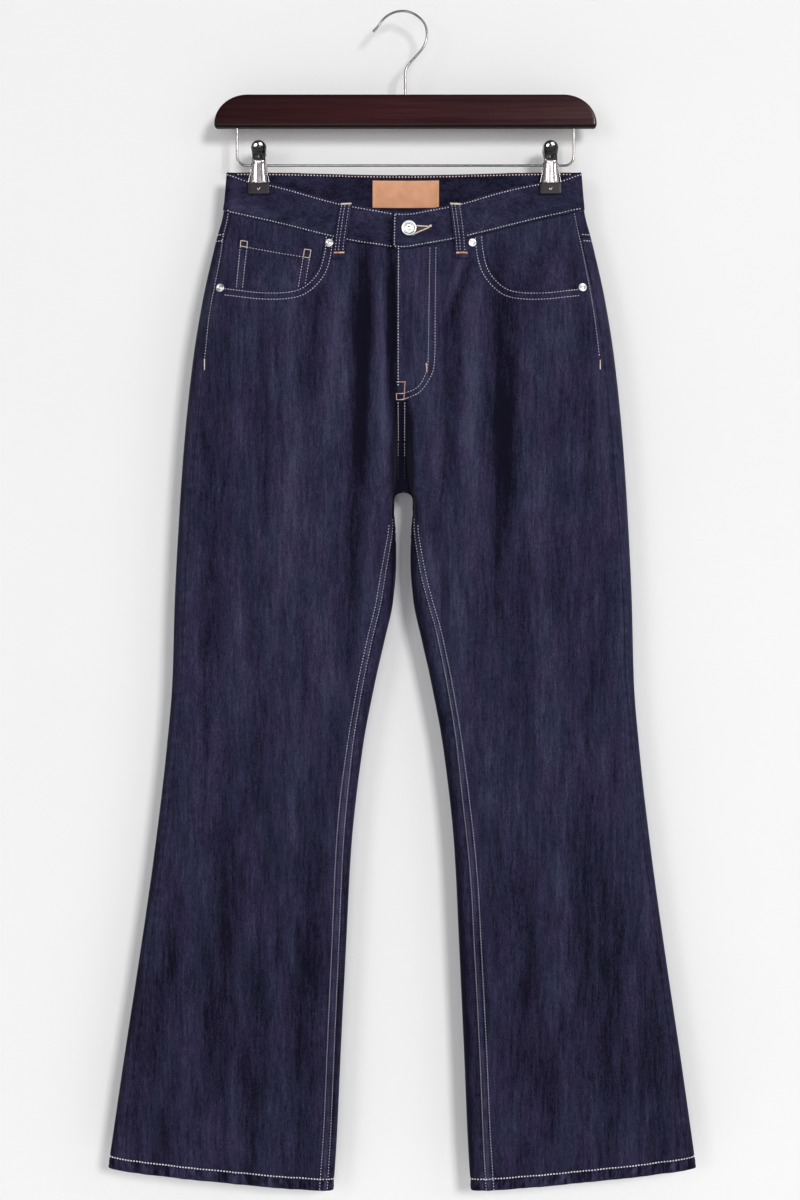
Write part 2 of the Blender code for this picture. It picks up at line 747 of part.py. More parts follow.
def build_cloth(materials, parts, cutters):
    """All the jeans' cloth, and the label."""
    denim = materials["denim"]
    for side, name in ((-1, "left"), (1, "right")):
        places = front_places(side)
        panel = cloth(f"front_{name}", places, panel_wall(*places[1].shape), denim, parts)
        cut(panel, mouth_cutter(side, cutters))

        places = back_places(side)
        cloth(f"back_{name}", places, panel_wall(*places[1].shape), denim, parts)
        cloth(f"yoke_{name}", yoke_places(side), DENIM, denim, parts)
        cloth(f"facing_{name}", facing_places(side), DENIM, denim, parts, out=-FACING_SINK[side])
        cloth(f"back_pocket_{name}", back_pocket_places(side), PATCH_WALL, denim, parts,
              out=PATCH_GAP + PATCH_WALL)

    cloth("coin_pocket", coin_places(), COIN_WALL, denim, parts, out=-COIN_SINK)
    places, lap = band_places()
    cloth("waistband", places, BAND_WALL, denim, parts, out=BAND_PROUD + lap)
    cloth("label", label_places(), LABEL_WALL, materials["label"], parts,
          out=BAND_PROUD - BAND_WALL - GAP)
    for name, face, x_top, x_foot in LOOPS:
        places, out = loop_places(face, x_top, x_foot)
        cloth(f"loop_{name}", places, LOOP_WALL, denim, parts, out=out)


# ---------------------------------------------------------------- turned metal trim


def turned(name, profile, steps, material, collection):
    """A profile of radius and height, turned round its own Z axis."""
    mesh = bpy.data.meshes.new(name)
    verts = [(radius * MM, 0.0, height * MM) for radius, height in profile]
    mesh.from_pydata(verts, [(i, i + 1) for i in range(len(verts) - 1)], [])
    obj = mesh_object(name, mesh, material, collection)
    screw = obj.modifiers.new("Turn", "SCREW")
    screw.steps = steps
    screw.render_steps = steps
    screw.use_merge_vertices = True
    screw.merge_threshold = 0.00001
    screw.use_smooth_shade = True
    return obj


def set_on_body(obj, x, drop, out):
    """Stand a turned piece on the front of the body, with its axis along the normal."""
    foot = body_point(-1, np.array([x]), np.array([drop]), np.array([0.001]))[0]
    top = body_point(-1, np.array([x]), np.array([drop]), np.array([1.001]))[0]
    normal = Vector(top - foot).normalized()
    obj.rotation_mode = "QUATERNION"
    obj.rotation_quaternion = normal.to_track_quat("Z", "Y")
    obj.location = (Vector(foot) + normal * out) * MM


def quarter_round(radius, height, across, rise, count):
    """Points of a rounded edge, from its level top to its upright side."""
    angles = np.linspace(0.0, math.pi / 2, count)
    return [(radius + across * math.sin(a), height + rise * math.cos(a)) for a in angles]


def button_profile():
    """A dished button with a rounded rim, from its middle over the rim to its underside."""
    r, h = BUTTON_RADIUS, BUTTON_HEIGHT
    dish = [(0.0, h - 0.5), (r * 0.55, h - 0.7), (r * 0.68, h - 0.9)]
    rim = quarter_round(r - 1.1, h - 1.1, 1.1, 1.1, 5)
    return [*dish, *rim, (r - 0.2, 1.2), (r * 0.7, 0.4), (r * 0.5, 0.0), (0.0, 0.0)]


def rivet_profile():
    """A rivet's burr with its nub in the middle."""
    r, h = RIVET_RADIUS, RIVET_HEIGHT
    nub = quarter_round(0.0, h - 0.6, r * 0.42, 0.6, 4)
    rim = quarter_round(r - 0.7, 0.5, 0.7, 0.5, 4)
    return [*nub, (r * 0.5, 0.85), *rim, (r, 0.0), (0.0, 0.0)]


def build_trim(materials, parts):
    """The button and the four rivets."""
    button = turned("button", button_profile(), 20, materials["nickel"], parts)
    set_on_body(button, *BUTTON_PLACE, BAND_PROUD + BAND_LAP_SHIFT + GAP)
    for name, x, drop in RIVETS:
        rivet = turned(f"rivet_{name}", rivet_profile(), 10, materials["nickel"], parts)
        set_on_body(rivet, x, drop, GAP)


# ---------------------------------------------------------------- hanger


def wire_object(name, points, radius, material, collection):
    """Round wire through points of x, y and drop, as a welded mesh."""
    curve = bpy.data.curves.new(name, "CURVE")
    curve.dimensions = "3D"
    curve.bevel_depth = radius * MM
    curve.bevel_resolution = 2
    curve.use_fill_caps = True
    spline = curve.splines.new("POLY")
    spline.points.add(len(points) - 1)
    for point, (x, y, drop) in zip(spline.points, points):
        point.co = (x * MM, y * MM, -drop * MM, 1.0)
    holder = bpy.data.objects.new(name + "_path", curve)
    collection.objects.link(holder)
    return curve_to_mesh(holder, name, material, collection)


def curve_to_mesh(holder, name, material, collection):
    """Turn a curve object into a welded mesh object."""
    bpy.context.view_layer.update()
    evaluated = holder.evaluated_get(bpy.context.evaluated_depsgraph_get())
    mesh = bpy.data.meshes.new_from_object(evaluated)
    shape = bmesh.new()
    shape.from_mesh(mesh)
    bmesh.ops.remove_doubles(shape, verts=shape.verts, dist=0.00001)
    bmesh.ops.recalc_face_normals(shape, faces=shape.faces)
    shape.to_mesh(mesh)
    shape.free()
    obj = mesh_object(name, mesh, material, collection)
    obj.matrix_world = holder.matrix_world
    bpy.data.objects.remove(holder, do_unlink=True)
    return obj


def bar_outline():
    """Bar seen from the front: long flat top, round shoulders and small lower corners."""
    half, (reach, fall) = BAR_HALF_LENGTH, BAR_SHOULDER
    right = []
    for angle in np.linspace(0.0, math.pi / 2, 11):
        right.append((half - reach + reach * math.sin(angle), BAR_TOP + fall - fall * math.cos(angle)))
    for angle in np.linspace(0.0, math.pi / 2, 4):
        right.append((half - BAR_CORNER + BAR_CORNER * math.cos(angle),
                      BAR_FOOT - BAR_CORNER + BAR_CORNER * math.sin(angle)))
    left = [(-x, drop) for x, drop in reversed(right)]
    return right + left


def drilled_hole(name, across, drop, collection):
    """A cutter for the hole that a wire sits in."""
    radius = (WIRE_HALF + GAP) * MM
    bpy.ops.mesh.primitive_cylinder_add(vertices=16, radius=radius, depth=2 * HOLE_DEPTH * MM)
    hole = bpy.context.object
    hole.name = name
    hole.location = (across * MM, 0.0, -drop * MM)
    return as_cutter(hole, collection)


def build_bar(material, parts, cutters):
    """The wooden bar, with holes for the hook and the rail."""
    curve = bpy.data.curves.new("hanger_bar", "CURVE")
    curve.dimensions = "2D"
    curve.fill_mode = "BOTH"
    curve.extrude = (BAR_THICKNESS / 2 - BAR_EDGE) * MM
    curve.bevel_depth = BAR_EDGE * MM
    curve.bevel_resolution = 2
    curve.offset = -BAR_EDGE * MM
    spline = curve.splines.new("POLY")
    outline = bar_outline()
    spline.points.add(len(outline) - 1)
    for point, (x, drop) in zip(spline.points, outline):
        point.co = (x * MM, -drop * MM, 0.0, 1.0)
    spline.use_cyclic_u = True
    holder = bpy.data.objects.new("bar_outline", curve)
    parts.objects.link(holder)
    holder.rotation_euler = (math.pi / 2, 0.0, 0.0)
    holder.location = (HANGER_ACROSS * MM, 0.0, 0.0)
    bar = curve_to_mesh(holder, "hanger_bar", material, parts)
    cut(bar, drilled_hole("hook_hole", HANGER_ACROSS, BAR_TOP, cutters))
    for side in (-1, 1):
        across = HANGER_ACROSS + side * RAIL_HALF_LENGTH
        cut(bar, drilled_hole(f"rail_hole_{side}", across, BAR_FOOT, cutters))


def arc(centre, radius, start, end, count):
    """Points of an arc in X and drop; angles run from +X towards up."""
    return [(centre[0] + radius * math.cos(a), 0.0, centre[1] - radius * math.sin(a))
            for a in np.linspace(start, end, count)]


def build_wires(material, parts):
    """The hook, whose inside top is the origin, and the rail that the clips sit on."""
    bend = arc(HOOK_CENTRE, HOOK_CENTRE[1] + WIRE_HALF, *map(math.radians, HOOK_BEND), 24)
    neck = ((0.0, BAR_TOP + WIRE_IN_HOLE), (0.0, HOOK_NECK_DROP + 4.0), (0.5, HOOK_NECK_DROP + 0.5),
            (2.2, HOOK_NECK_DROP - 2.6))
    stem = [(HANGER_ACROSS + x, 0.0, drop) for x, drop in neck]
    tip = [(HOOK_TIP[0] + 4.2, 0.0, HOOK_TIP[1] - 5.8), (HOOK_TIP[0], 0.0, HOOK_TIP[1])]
    wire_object("hanger_hook", stem + bend + tip, WIRE_HALF, material, parts)

    end = BAR_FOOT - WIRE_IN_HOLE
    corner = RAIL_CORNER
    left = HANGER_ACROSS - RAIL_HALF_LENGTH
    right = HANGER_ACROSS + RAIL_HALF_LENGTH
    foot = RAIL_DROP - corner
    turn_left = arc((left + corner, foot), corner, math.pi, 1.5 * math.pi, 7)
    turn_right = arc((right - corner, foot), corner, 1.5 * math.pi, 2 * math.pi, 7)
    rail = [(left, 0.0, end), *turn_left, *turn_right, (right, 0.0, end)]
    wire_object("hanger_rail", rail, WIRE_HALF, material, parts)


def jaw_mesh(name, across, face):
    """A pressed jaw: crowned across, narrow at its grip and wide at its mouth."""
    share = np.linspace(-1.0, 1.0, 5)[None, :]
    table = np.array(JAW)
    drop, out, half = (table[:, i][:, None] for i in range(3))
    crown = JAW_CROWN * (1 - share**2) * np.minimum(half / 8.0, 1.0)
    x = across + share * half
    outside = np.stack(np.broadcast_arrays(x, face * (out + crown + JAW_WALL), -drop), axis=-1)
    inside = np.stack(np.broadcast_arrays(x, face * (out + crown), -drop), axis=-1)
    return wall_mesh(name, outside, inside)


def build_pad(name, across, face, material, parts):
    """A flat pad with rounded edges, inside the foot of a jaw."""
    bpy.ops.mesh.primitive_cube_add(size=1.0)
    pad = bpy.context.object
    pad.name = name
    move_to(pad, parts)
    size = (2 * PAD_HALF_WIDTH * MM, PAD_WALL * MM, (PAD_FOOT - PAD_TOP) * MM)
    for vert in pad.data.vertices:
        vert.co = Vector(c * s for c, s in zip(vert.co, size))
    pad.location = (across * MM, face * (PAD_GAP + PAD_WALL / 2) * MM, -(PAD_TOP + PAD_FOOT) / 2 * MM)
    pad.data.materials.append(material)
    bevel = pad.modifiers.new("Rounded", "BEVEL")
    bevel.width = PAD_ROUNDING * MM
    bevel.segments = 2


def build_clip(name, across, materials, parts):
    """Two jaws with their pads, and the spring between them round the rail."""
    for face, place in ((-1, "front"), (1, "back")):
        jaw = f"clip_{name}_jaw_{place}"
        mesh_object(jaw, jaw_mesh(jaw, across, face), materials["chrome"], parts)
        build_pad(f"clip_{name}_pad_{place}", across, face, materials["pad"], parts)
    inner, end = WIRE_HALF + GAP, BARREL_LENGTH / 2
    barrel_profile = [(inner, -end), (inner, end), (BARREL_RADIUS, end), (BARREL_RADIUS, -end), (inner, -end)]
    barrel = turned(f"clip_{name}_spring", barrel_profile, 20, materials["chrome"], parts)
    barrel.location = (across * MM, 0.0, -RAIL_DROP * MM)
    barrel.rotation_euler = (0.0, math.pi / 2, 0.0)


def main():
    """Clear the scene and build the jeans on their hanger."""
    for obj in list(bpy.data.objects):
        bpy.data.objects.remove(obj, do_unlink=True)
    parts = new_collection("flared_jeans_on_hanger")
    cutters = new_collection("cutters")
    materials = {
        "denim": make_material("indigo_denim", (0.030, 0.030, 0.068), 0.85),
        "label": make_material("tan_patch", (0.55, 0.36, 0.19), 0.6),
        "nickel": make_material("polished_nickel", (0.72, 0.72, 0.74), 0.25, 1.0),
        "chrome": make_material("chrome_plate", (0.6, 0.6, 0.62), 0.15, 1.0),
        "pad": make_material("dark_pad", (0.03, 0.025, 0.03), 0.5),
        "wood": make_material("mahogany_wood", (0.045, 0.012, 0.014), 0.3),
    }
    build_cloth(materials, parts, cutters)
    build_trim(materials, parts)
    build_bar(materials["wood"], parts, cutters)
    build_wires(materials["chrome"], parts)
    for name, across in CLIPS:
        build_clip(name, across, materials, parts)


main()
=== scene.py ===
"""Looks of the flared jeans on their clip hanger: cloth, stitching, metal, wood and light.

Sizes are in millimetres until a mesh is made. A "drop" is a distance below the origin, which is
the inside top of the hook; face is -1 for the front and 1 for the back.
"""
import math

import bpy
import numpy as np
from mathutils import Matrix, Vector


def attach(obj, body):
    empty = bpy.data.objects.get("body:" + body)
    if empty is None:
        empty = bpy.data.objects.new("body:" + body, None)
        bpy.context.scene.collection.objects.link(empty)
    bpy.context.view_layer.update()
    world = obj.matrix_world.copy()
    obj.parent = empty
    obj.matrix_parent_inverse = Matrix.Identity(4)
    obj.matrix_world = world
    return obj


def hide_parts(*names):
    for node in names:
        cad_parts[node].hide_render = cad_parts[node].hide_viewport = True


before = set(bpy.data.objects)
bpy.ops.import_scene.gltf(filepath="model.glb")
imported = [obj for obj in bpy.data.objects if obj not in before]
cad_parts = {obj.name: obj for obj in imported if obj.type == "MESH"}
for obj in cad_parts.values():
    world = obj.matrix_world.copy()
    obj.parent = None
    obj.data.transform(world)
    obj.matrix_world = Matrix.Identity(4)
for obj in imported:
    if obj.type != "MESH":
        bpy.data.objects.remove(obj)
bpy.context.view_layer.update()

MM = 0.001
TAU = 2 * math.pi
QUARTER = math.pi / 2

# ---- sizes shared with the solids
GAP = 0.3
DENIM = 1.2
HEM_WALL = 2.8
HEM_DEPTH = 13.5
BAND_WALL = 2.8
BAND_PROUD = 0.8
PATCH_WALL = 1.2
PATCH_GAP = 1.2
LABEL_WALL = 1
LOOP_WALL = 1.6
LOOP_HALF_WIDTH = 6.5

SIDE_TOP = 171.7
SIDE_SEAM = 213
YOKE_SIDE = 242.4
YOKE_FALL = 50
YOKE_HALF_WIDTH = 200
CROTCH = 516.5
CROTCH_ARCH = 7
SEAT_TURN = 466
HEM_SIDE = 1241
HEM_FALL = 24.5
SECTION_POWER = 2.6
WAIST_FADE = 220
HEM_FADE_FROM = 1000

BODY = (
    # drop, half width, front depth, back depth
    (165, 189.4, 29, 30), (215, 194, 29, 31), (245, 201.7, 30, 32), (309, 216, 30, 34), (373, 226.3, 30, 34),
    (460, 235.4, 27, 32), (546, 241.3, 24, 28), (632, 245.6, 21, 25), (718, 248, 19, 22),
    (793, 254.2, 18, 21), (900, 266.6, 18, 20), (1008, 281.7, 18, 20), (1115, 297.8, 18, 20),
    (1212, 311.8, 18, 19), (1280, 321.5, 18, 19),
)
LEG_GAP = (
    # drop, half gap
    (500, 9.7), (538, 9.6), (560, 7.8), (589, 7.5), (632, 10.7), (675, 19.9), (718, 29.6), (793, 43.5),
    (900, 55.4), (1008, 60.9), (1115, 66.1), (1212, 70.4), (1280, 74.8),
)
SEAM_INSETS = (
    # drop, side seam left, side seam right, inseam left, inseam right
    (200, 7, 11, 0.6, 0.6), (290, 11, 12, 0.6, 0.6), (405, 14, 13.5, 0.6, 0.6), (517, 13, 12, 0.6, 0.6),
    (545, 12.8, 11.5, 0.7, 0.7), (560, 12.6, 11.2, 2.4, 2.2), (588, 12.2, 10.8, 7.1, 6.6),
    (605, 12, 10.5, 9.4, 9.2), (660, 11.5, 10, 11.8, 15.9), (775, 10.3, 8.6, 9.6, 13.5),
    (845, 9.7, 8, 7.8, 11.8), (958, 10.5, 7.5, 6.2, 14), (1169, 13, 9.5, 5, 14.8), (1280, 11, 8, 4.7, 14.3),
)
FRONT_BAND = (
    # across, top edge drop
    (-30, 215.7), (0, 220.4), (30, 215.7), (65, 208.4), (143.5, 184.4), (167, 180.2), (191, 171.7),
)
FRONT_SEAM = (
    # across, lower edge drop
    (-20, 254.1), (0, 256.6), (20, 254.1), (61.7, 247.2), (79, 242.7), (136.5, 226.2), (193, 213),
)
BAND_RISE = 3.1
BAND_RISE_ACROSS = 95
BAND_RISE_WIDTH = 44
SEAM_FALL = 3
CLIP_ACROSS = 155.5
PINCH_DEPTH = 3.6
FRONT_BOW = 25
BACK_BOW = 13
EAR_DEPTH = 2.6
EAR_WIDTH = 18
PINCH_HALF_WIDTH = 13
PINCH_FROM = 197
PINCH_TO = 340

# Soft troughs of the cloth; a negative depth is a ridge.
FOLDS = {
    # for each face: across and drop at the top, across and drop at the foot, half width, depth
    -1: (
        (-41.5, 236, -48, 510, 8.5, 6.2), (-47, 400, -57, 720, 12, 3), (-14, 222, -12.5, 446, 5, 6.2),
        (-23, 262, -19, 570, 7, -1.7), (-72, 262, -84, 470, 11, -1.4), (51, 296, 50, 560, 9, 1.5),
        (105, 248, 107, 560, 15, 4.8), (106, 400, 112, 840, 18, 2.4), (76, 262, 68, 640, 11, -1.8),
        (77, 256, 42, 356, 5, 2.2), (68, 250, 36, 344, 4, -1.8), (13, 250, 14, 330, 3.4, -1.4),
        (20, 252, 18, 318, 2.6, 1.2), (140, 330, 132, 700, 14, -1.2), (-90, 268, -94, 420, 10, 1.6),
        (-206, 340, -206, 700, 14, 2.2), (168, 350, 172, 760, 18, 1.3), (-150, 320, -150, 640, 18, 1.1),
        (-120, 380, -118, 700, 13, -1), (25, 560, 44, 760, 8, -1.8), (-180, 760, -205, 1190, 22, 1.8),
        (190, 800, 225, 1200, 22, 1.9), (-105, 860, -118, 1250, 18, 1.3), (178, 232, 186, 330, 6, 2),
        (-146, 640, -146, 980, 16, 1.2), (-72, 720, -96, 1060, 14, 1), (112, 860, 128, 1150, 16, 1.3),
        (204, 520, 206, 860, 15, 1.3), (-206, 600, -212, 860, 14, 1.2), (-150, 980, -166, 1262, 14, 1.3),
        (150, 1000, 158, 1262, 13, 1.3), (262, 1000, 276, 1250, 13, 1.4), (-262, 980, -276, 1246, 13, 1.4),
    ),
    1: (
        (-60, 300, -48, 640, 13, 4.6), (66, 310, 52, 620, 11, 4.2), (-165, 360, -172, 800, 17, 3.6),
        (160, 420, 178, 840, 16, 3.6), (-190, 880, -215, 1210, 18, 3), (150, 900, 175, 1215, 17, 3),
        (-112, 470, -120, 760, 12, 2.6), (110, 500, 118, 900, 12, 2.6), (24, 330, 20, 520, 8, 2.2),
        (-24, 330, -22, 520, 8, 2), (-120, 900, -132, 1250, 13, 2), (236, 960, 250, 1246, 12, 2),
        (-236, 1000, -252, 1246, 11, 1.8),
    ),
}

# Slow unevenness of the hanging cloth
WAVES = (
    # cycles a metre across and down, phase across, phase down, height
    (21, 3.1, 0.4, 1.9, 0.6), (34, 5.3, 2.2, 0.3, 0.45), (52, 7.9, 4.1, 2.7, 0.3), (13, 9.4, 1.1, 4.4, 0.4),
    (71, 4.7, 5.2, 3.3, 0.2),
)

# The cloth sinks in along the middle seam between the fly and the crotch
RECESS_DEPTH = 24
RECESS_HALF_WIDTH = 8.8
RECESS_MIDDLE = -1.2
RECESS_FROM = 396
RECESS_TO = 505
RECESS_LEAST = 4

LEAN = 0.0019
FLY_TOP_ACROSS = -7.5
FLY_TOP_DROP = 256
FLY_FOOT_ACROSS = -7.4
FLY_FOOT_DROP = 414
FLY_FADE_FROM = 452
FLY_FADE = 58
FLY_RAISE = 1.7
FLY_RAMP = 34
BAND_LAP_END = -11.8
BAND_UNDERLAP_END = 14
BAND_UNDERLAP_FROM = 50
BAND_LAP_SHIFT = 1.6
BAND_LAP_RAMP = 35
BAND_TURN_ACROSS = 172

POCKET_MOUTH = (
    # across, drop of the front panel's cut edge
    (84.6, 238), (86, 258), (90.2, 276.6), (98.4, 289.4), (111, 299.4), (127, 303), (151, 302.9),
    (171, 300.6), (196, 297), (214, 296),
)
# Distances of the rows of stitches from the edges they run along
MOUTH_ROWS = (2.2, 8.9)
BAND_TOP_ROW = 2.6
BAND_FOOT_ROW = 2.4
SEAT_ROWS = (2, 8.2)
POCKET_ROWS = (1.8, 8)
POCKET_HEM = 12
FACING_INNER = 77
FACING_FOOT = 310
FACING_INSET = 0.8
FACING_SINK = {-1: 3.6, 1: 2}
COIN_CORNERS = (
    # across and drop at the top, across and drop at the foot
    (-176.4, 243.2, -181.3, 306),
    (-97.6, 256, -105.6, 309),
)
BACK_POCKET_ACROSS = 104
BACK_POCKET_TOP = 322
BACK_POCKET_SIDE = 138
BACK_POCKET_POINT = 22
BACK_POCKET_HALF_WIDTHS = (76, 66)
BACK_POCKET_TILT = 5
LABEL_CENTRE = (1.9, 192.8)
LABEL_HALF = (36.2, 14.7)
LOOP_LENGTH = 60.5
LOOP_RISE = 1
LOOP_BAND_SHARE = 0.62
LOOP_BAND_RAMP = 0.3
LOOPS = (
    # name, face, across at the top, across at the foot
    ("front_left", -1, -60.5, -69.5),
    ("front_right", -1, 53.6, 61.6),
    ("back_left", 1, -118, -118),
    ("back_middle", 1, 0, 0),
    ("back_right", 1, 118, 118),
)
LOOP_STAND_OFF = (
    # share of the length, distance of the loop's underside from the body
    (0, 1.2), (0.12, 2.6), (0.4, 3.3), (0.7, 2.8), (0.88, 1.3), (1, 0.6),
)
BUTTON_PLACE = (5.1, 237.7)
BUTTON_RADIUS = 8.2
RIVET_RADIUS = 4.6
RIVETS = (
    # name, across, drop
    ("left_outer", -195.7, 298.8), ("left_inner", -79.3, 251.4), ("right_inner", 72.6, 251.4),
    ("right_outer", 190.4, 298.4),
)
HANGER_ACROSS = 1.5
BAR_HALF_LENGTH = 205.3
BAR_TOP = 89.2
BAR_FOOT = 124.2
BAR_THICKNESS = 13
BAR_SHOULDER = (36, 32)
BAR_CORNER = 3
WIRE_IN_HOLE = 15
WIRE_RADIUS = 1.3
HOOK_LINE = (
    # across, drop of the wire's middle
    (1.3, 104.2), (1.3, 88), (1.2, 73), (1.4, 65), (2.9, 59.3), (6.9, 53.4), (12.7, 47.2), (18.4, 40.6),
    (22.4, 34), (24.4, 27.2), (24.4, 20.2), (22.6, 13.6), (18.6, 7.6), (12.6, 2.6), (5.6, -0.6), (-1.6, -1.6),
    (-9.4, -0.4), (-17.3, 3.2), (-23.8, 9), (-28, 15), (-33.2, 20.8),
)
RAIL_HALF_LENGTH = 181
RAIL_DROP = 164.6
RAIL_CORNER = 10
CLIPS = (("left", -155.7), ("right", 157.2))
PAD_TOP = 183.6
PAD_FOOT = 196.6
PAD_HALF_WIDTH = 11.8
PAD_WALL = 3.4
PAD_GAP = 4.6
HEAD_RADIUS = 8.1
HEAD_DROP = 147.2
JAW = (
    # drop, distance out from the hanger's plane, half width, fullness, flutes
    (139.1, 7.2, 8.1, 0.95, 0),
    (147.2, 7.2, 8.1, 0.95, 0),
    (151, 7, 7.5, 0.8, 0),
    (154.4, 6.6, 6.9, 0.45, 0),
    (159, 6.5, 6.9, 0.3, 0),
    (161.8, 6.6, 7.3, 0.12, 0.6),
    (165, 6.9, 7.4, 0.06, 1),
    (174, 6.9, 7.9, 0.06, 1),
    (183, 6.9, 9.3, 0.06, 1),
    (184.6, 6.9, 9.7, 0.06, 0.3),
)
JAW_WALL = 1.1
HEAD_OUT = 7.2
DIP_FOOT = 161.2
DIP_WALL = 0.16

# ---- curves and the body's surface


def smooth(x, rows, column=1):
    """Read a column of a table along a smooth curve that never overshoots its rows."""
    table = np.array(rows, dtype=float)
    xs, ys = table[:, 0], table[:, column]
    step = np.diff(xs)
    rise = np.diff(ys) / step
    same = rise[:-1] * rise[1:] > 0
    total = np.where(same, rise[:-1] + rise[1:], 1)
    inner = np.where(same, 2 * rise[:-1] * rise[1:] / total, 0)
    slope = np.concatenate([rise[:1], inner, rise[-1:]])
    x = np.clip(np.asarray(x, dtype=float), xs[0], xs[-1])
    i = np.clip(np.searchsorted(xs, x) - 1, 0, len(xs) - 2)
    t = (x - xs[i]) / step[i]
    start = (2 * t**3 - 3 * t**2 + 1) * ys[i] + (t**3 - 2 * t**2 + t) * step[i] * slope[i]
    end = (3 * t**2 - 2 * t**3) * ys[i + 1] + (t**3 - t**2) * step[i] * slope[i + 1]
    return start + end


def ease(value, start=0, reach=1):
    """Rise softly from 0 to 1 while a value goes over a reach from its start."""
    t = np.clip((value - start) / reach, 0, 1)
    return t * t * (3 - 2 * t)


def bell(distance, width, power=2):
    return np.exp(-(np.abs(distance / width) ** power))


def xyz(x, y, z):
    return np.stack(np.broadcast_arrays(x, y, z), axis=-1)


def oval(x, y, across, high, start, end, count):
    """Points along a stretch of an oval about x and y, upwards from its right end."""
    return [(x + across * math.cos(a), y - high * math.sin(a)) for a in np.linspace(start, end, count)]


def half_gap(drop):
    """Half the gap between the legs, with the arch at the crotch."""
    t = np.clip((drop - CROTCH) / CROTCH_ARCH, 0, 1)
    return np.maximum(smooth(drop, LEG_GAP) * np.sqrt(1 - (1 - t) ** 2), GAP / 2)


def slow_gap(drop):
    """The same gap as the cloth away from it feels it: it comes on gradually."""
    return np.maximum(smooth(drop, LEG_GAP) * ease(drop, CROTCH - 34, 68), GAP / 2)


def section(drop):
    """Middle and half width of a leg."""
    outer, inner = smooth(drop, BODY), half_gap(drop)
    return (outer + inner) / 2, (outer - inner) / 2


def near_gap(x, drop):
    return np.exp(-np.maximum(np.abs(x) - half_gap(drop), 0) / 12)


def inner_start(x, drop):
    """Inner edge of a leg as the cloth at x feels it."""
    slow = slow_gap(drop)
    return slow + (half_gap(drop) - slow) * near_gap(x, drop)


def across_share(x, drop):
    """Place across a leg, from -1 at its inner edge to 1 at its outer one."""
    start = inner_start(x, drop)
    return 2 * (np.abs(x) - start) / (smooth(drop, BODY) - start) - 1


def pinch(face, across):
    """Depth of the waistband, which is held at the clips and bows out between them."""
    inside = np.minimum(across / (CLIP_ACROSS - PINCH_HALF_WIDTH), 1)
    middle = np.where(face < 0, FRONT_BOW, BACK_BOW) * np.cos(QUARTER * inside) ** 1.5
    return PINCH_DEPTH + middle + EAR_DEPTH * ease(across, CLIP_ACROSS + PINCH_HALF_WIDTH, EAR_WIDTH)


def fold_depth(face, x, drop):
    total = np.zeros(np.broadcast(x, drop).shape)
    for side, folds in FOLDS.items():
        for x_top, top, x_foot, foot, half_width, depth in folds:
            t = (drop - top) / (foot - top)
            along = np.sin(np.pi * np.clip(t, 0, 1)) ** 0.7
            shape = bell(x - x_top - (x_foot - x_top) * t, half_width) * along
            total = total + np.where(face == side, depth * shape, 0)
    return total


def fullness(face, x, drop):
    """Depth of the cloth's outside in the middle of a leg, and the depth of its folds."""
    loose = np.where(face < 0, smooth(drop, BODY, 2), smooth(drop, BODY, 3))
    held = 1 - ease(drop, PINCH_FROM, PINCH_TO - PINCH_FROM)
    return loose * (1 - held) + pinch(face, np.abs(x)) * held, fold_depth(face, x, drop)


def middle_share(x, drop):
    """Share of the fullness that the cloth keeps at its middle: it ends sharply only at the crotch."""
    near = near_gap(x, drop)
    centre = np.sqrt(1 - np.clip((drop - SEAT_TURN) / (CROTCH - SEAT_TURN), 0, 1) ** 2)
    away = 1 - ease(drop, SEAT_TURN, CROTCH + 60 - SEAT_TURN)
    return np.where(np.abs(x) < section(drop)[0], near * centre + (1 - near) * away, 0)


def body_depth(face, x, drop):
    """Distance of the cloth's outside from the hanger's plane."""
    share = np.clip(1 - np.abs(across_share(x, drop)) ** SECTION_POWER, 0, 1) ** (1 / SECTION_POWER)
    full, folds = fullness(face, x, drop)
    centre = middle_share(x, drop)
    return full * (centre + (1 - centre) * share) - folds * share


def edge_level(face, x, y, drop):
    """A value that is the same all over the cloth, also where it turns at its folded edges."""
    full, folds = fullness(face, x, drop)
    centre = middle_share(x, drop)
    room = np.maximum(full * (1 - centre) - folds, 0.001)
    share = np.maximum((np.abs(y) - full * centre) / room, 0)
    return share**SECTION_POWER + np.abs(across_share(x, drop)) ** SECTION_POWER


def body_normal(face, x, y, drop):
    """Outward direction: from the depth on the faces, and from the level at the folded edges."""
    step = 0.4

    def slope(value, axis):
        ends = []
        for way in (step, -step):
            at = [x, y, drop]
            at[axis] = at[axis] + way
            ends.append(value(face, *at))
        return (ends[0] - ends[1]) / (2 * step)

    def depth(face, x, y, drop):
        return body_depth(face, x, drop)

    on_face = xyz(-slope(depth, 0), face, slope(depth, 2))
    on_edge = xyz(slope(edge_level, 0), slope(edge_level, 1), -slope(edge_level, 2))
    steep = np.abs(y) < 0.35 * fullness(face, x, drop)[0]
    normal = np.where(steep[..., None], on_edge, on_face)
    return normal / np.maximum(np.linalg.norm(normal, axis=-1, keepdims=True), 1e-9)


def recess(face, x, drop):
    """Depth of the groove along the middle seam, above the crotch."""
    depth = RECESS_DEPTH * bell(x - RECESS_MIDDLE, RECESS_HALF_WIDTH, 3)
    depth = depth * ease(drop, RECESS_FROM, RECESS_TO - RECESS_FROM)
    room = np.maximum(body_depth(face, x, drop) - RECESS_LEAST, 0)
    return np.minimum(np.where(face < 0, depth, 0.4 * depth), room)


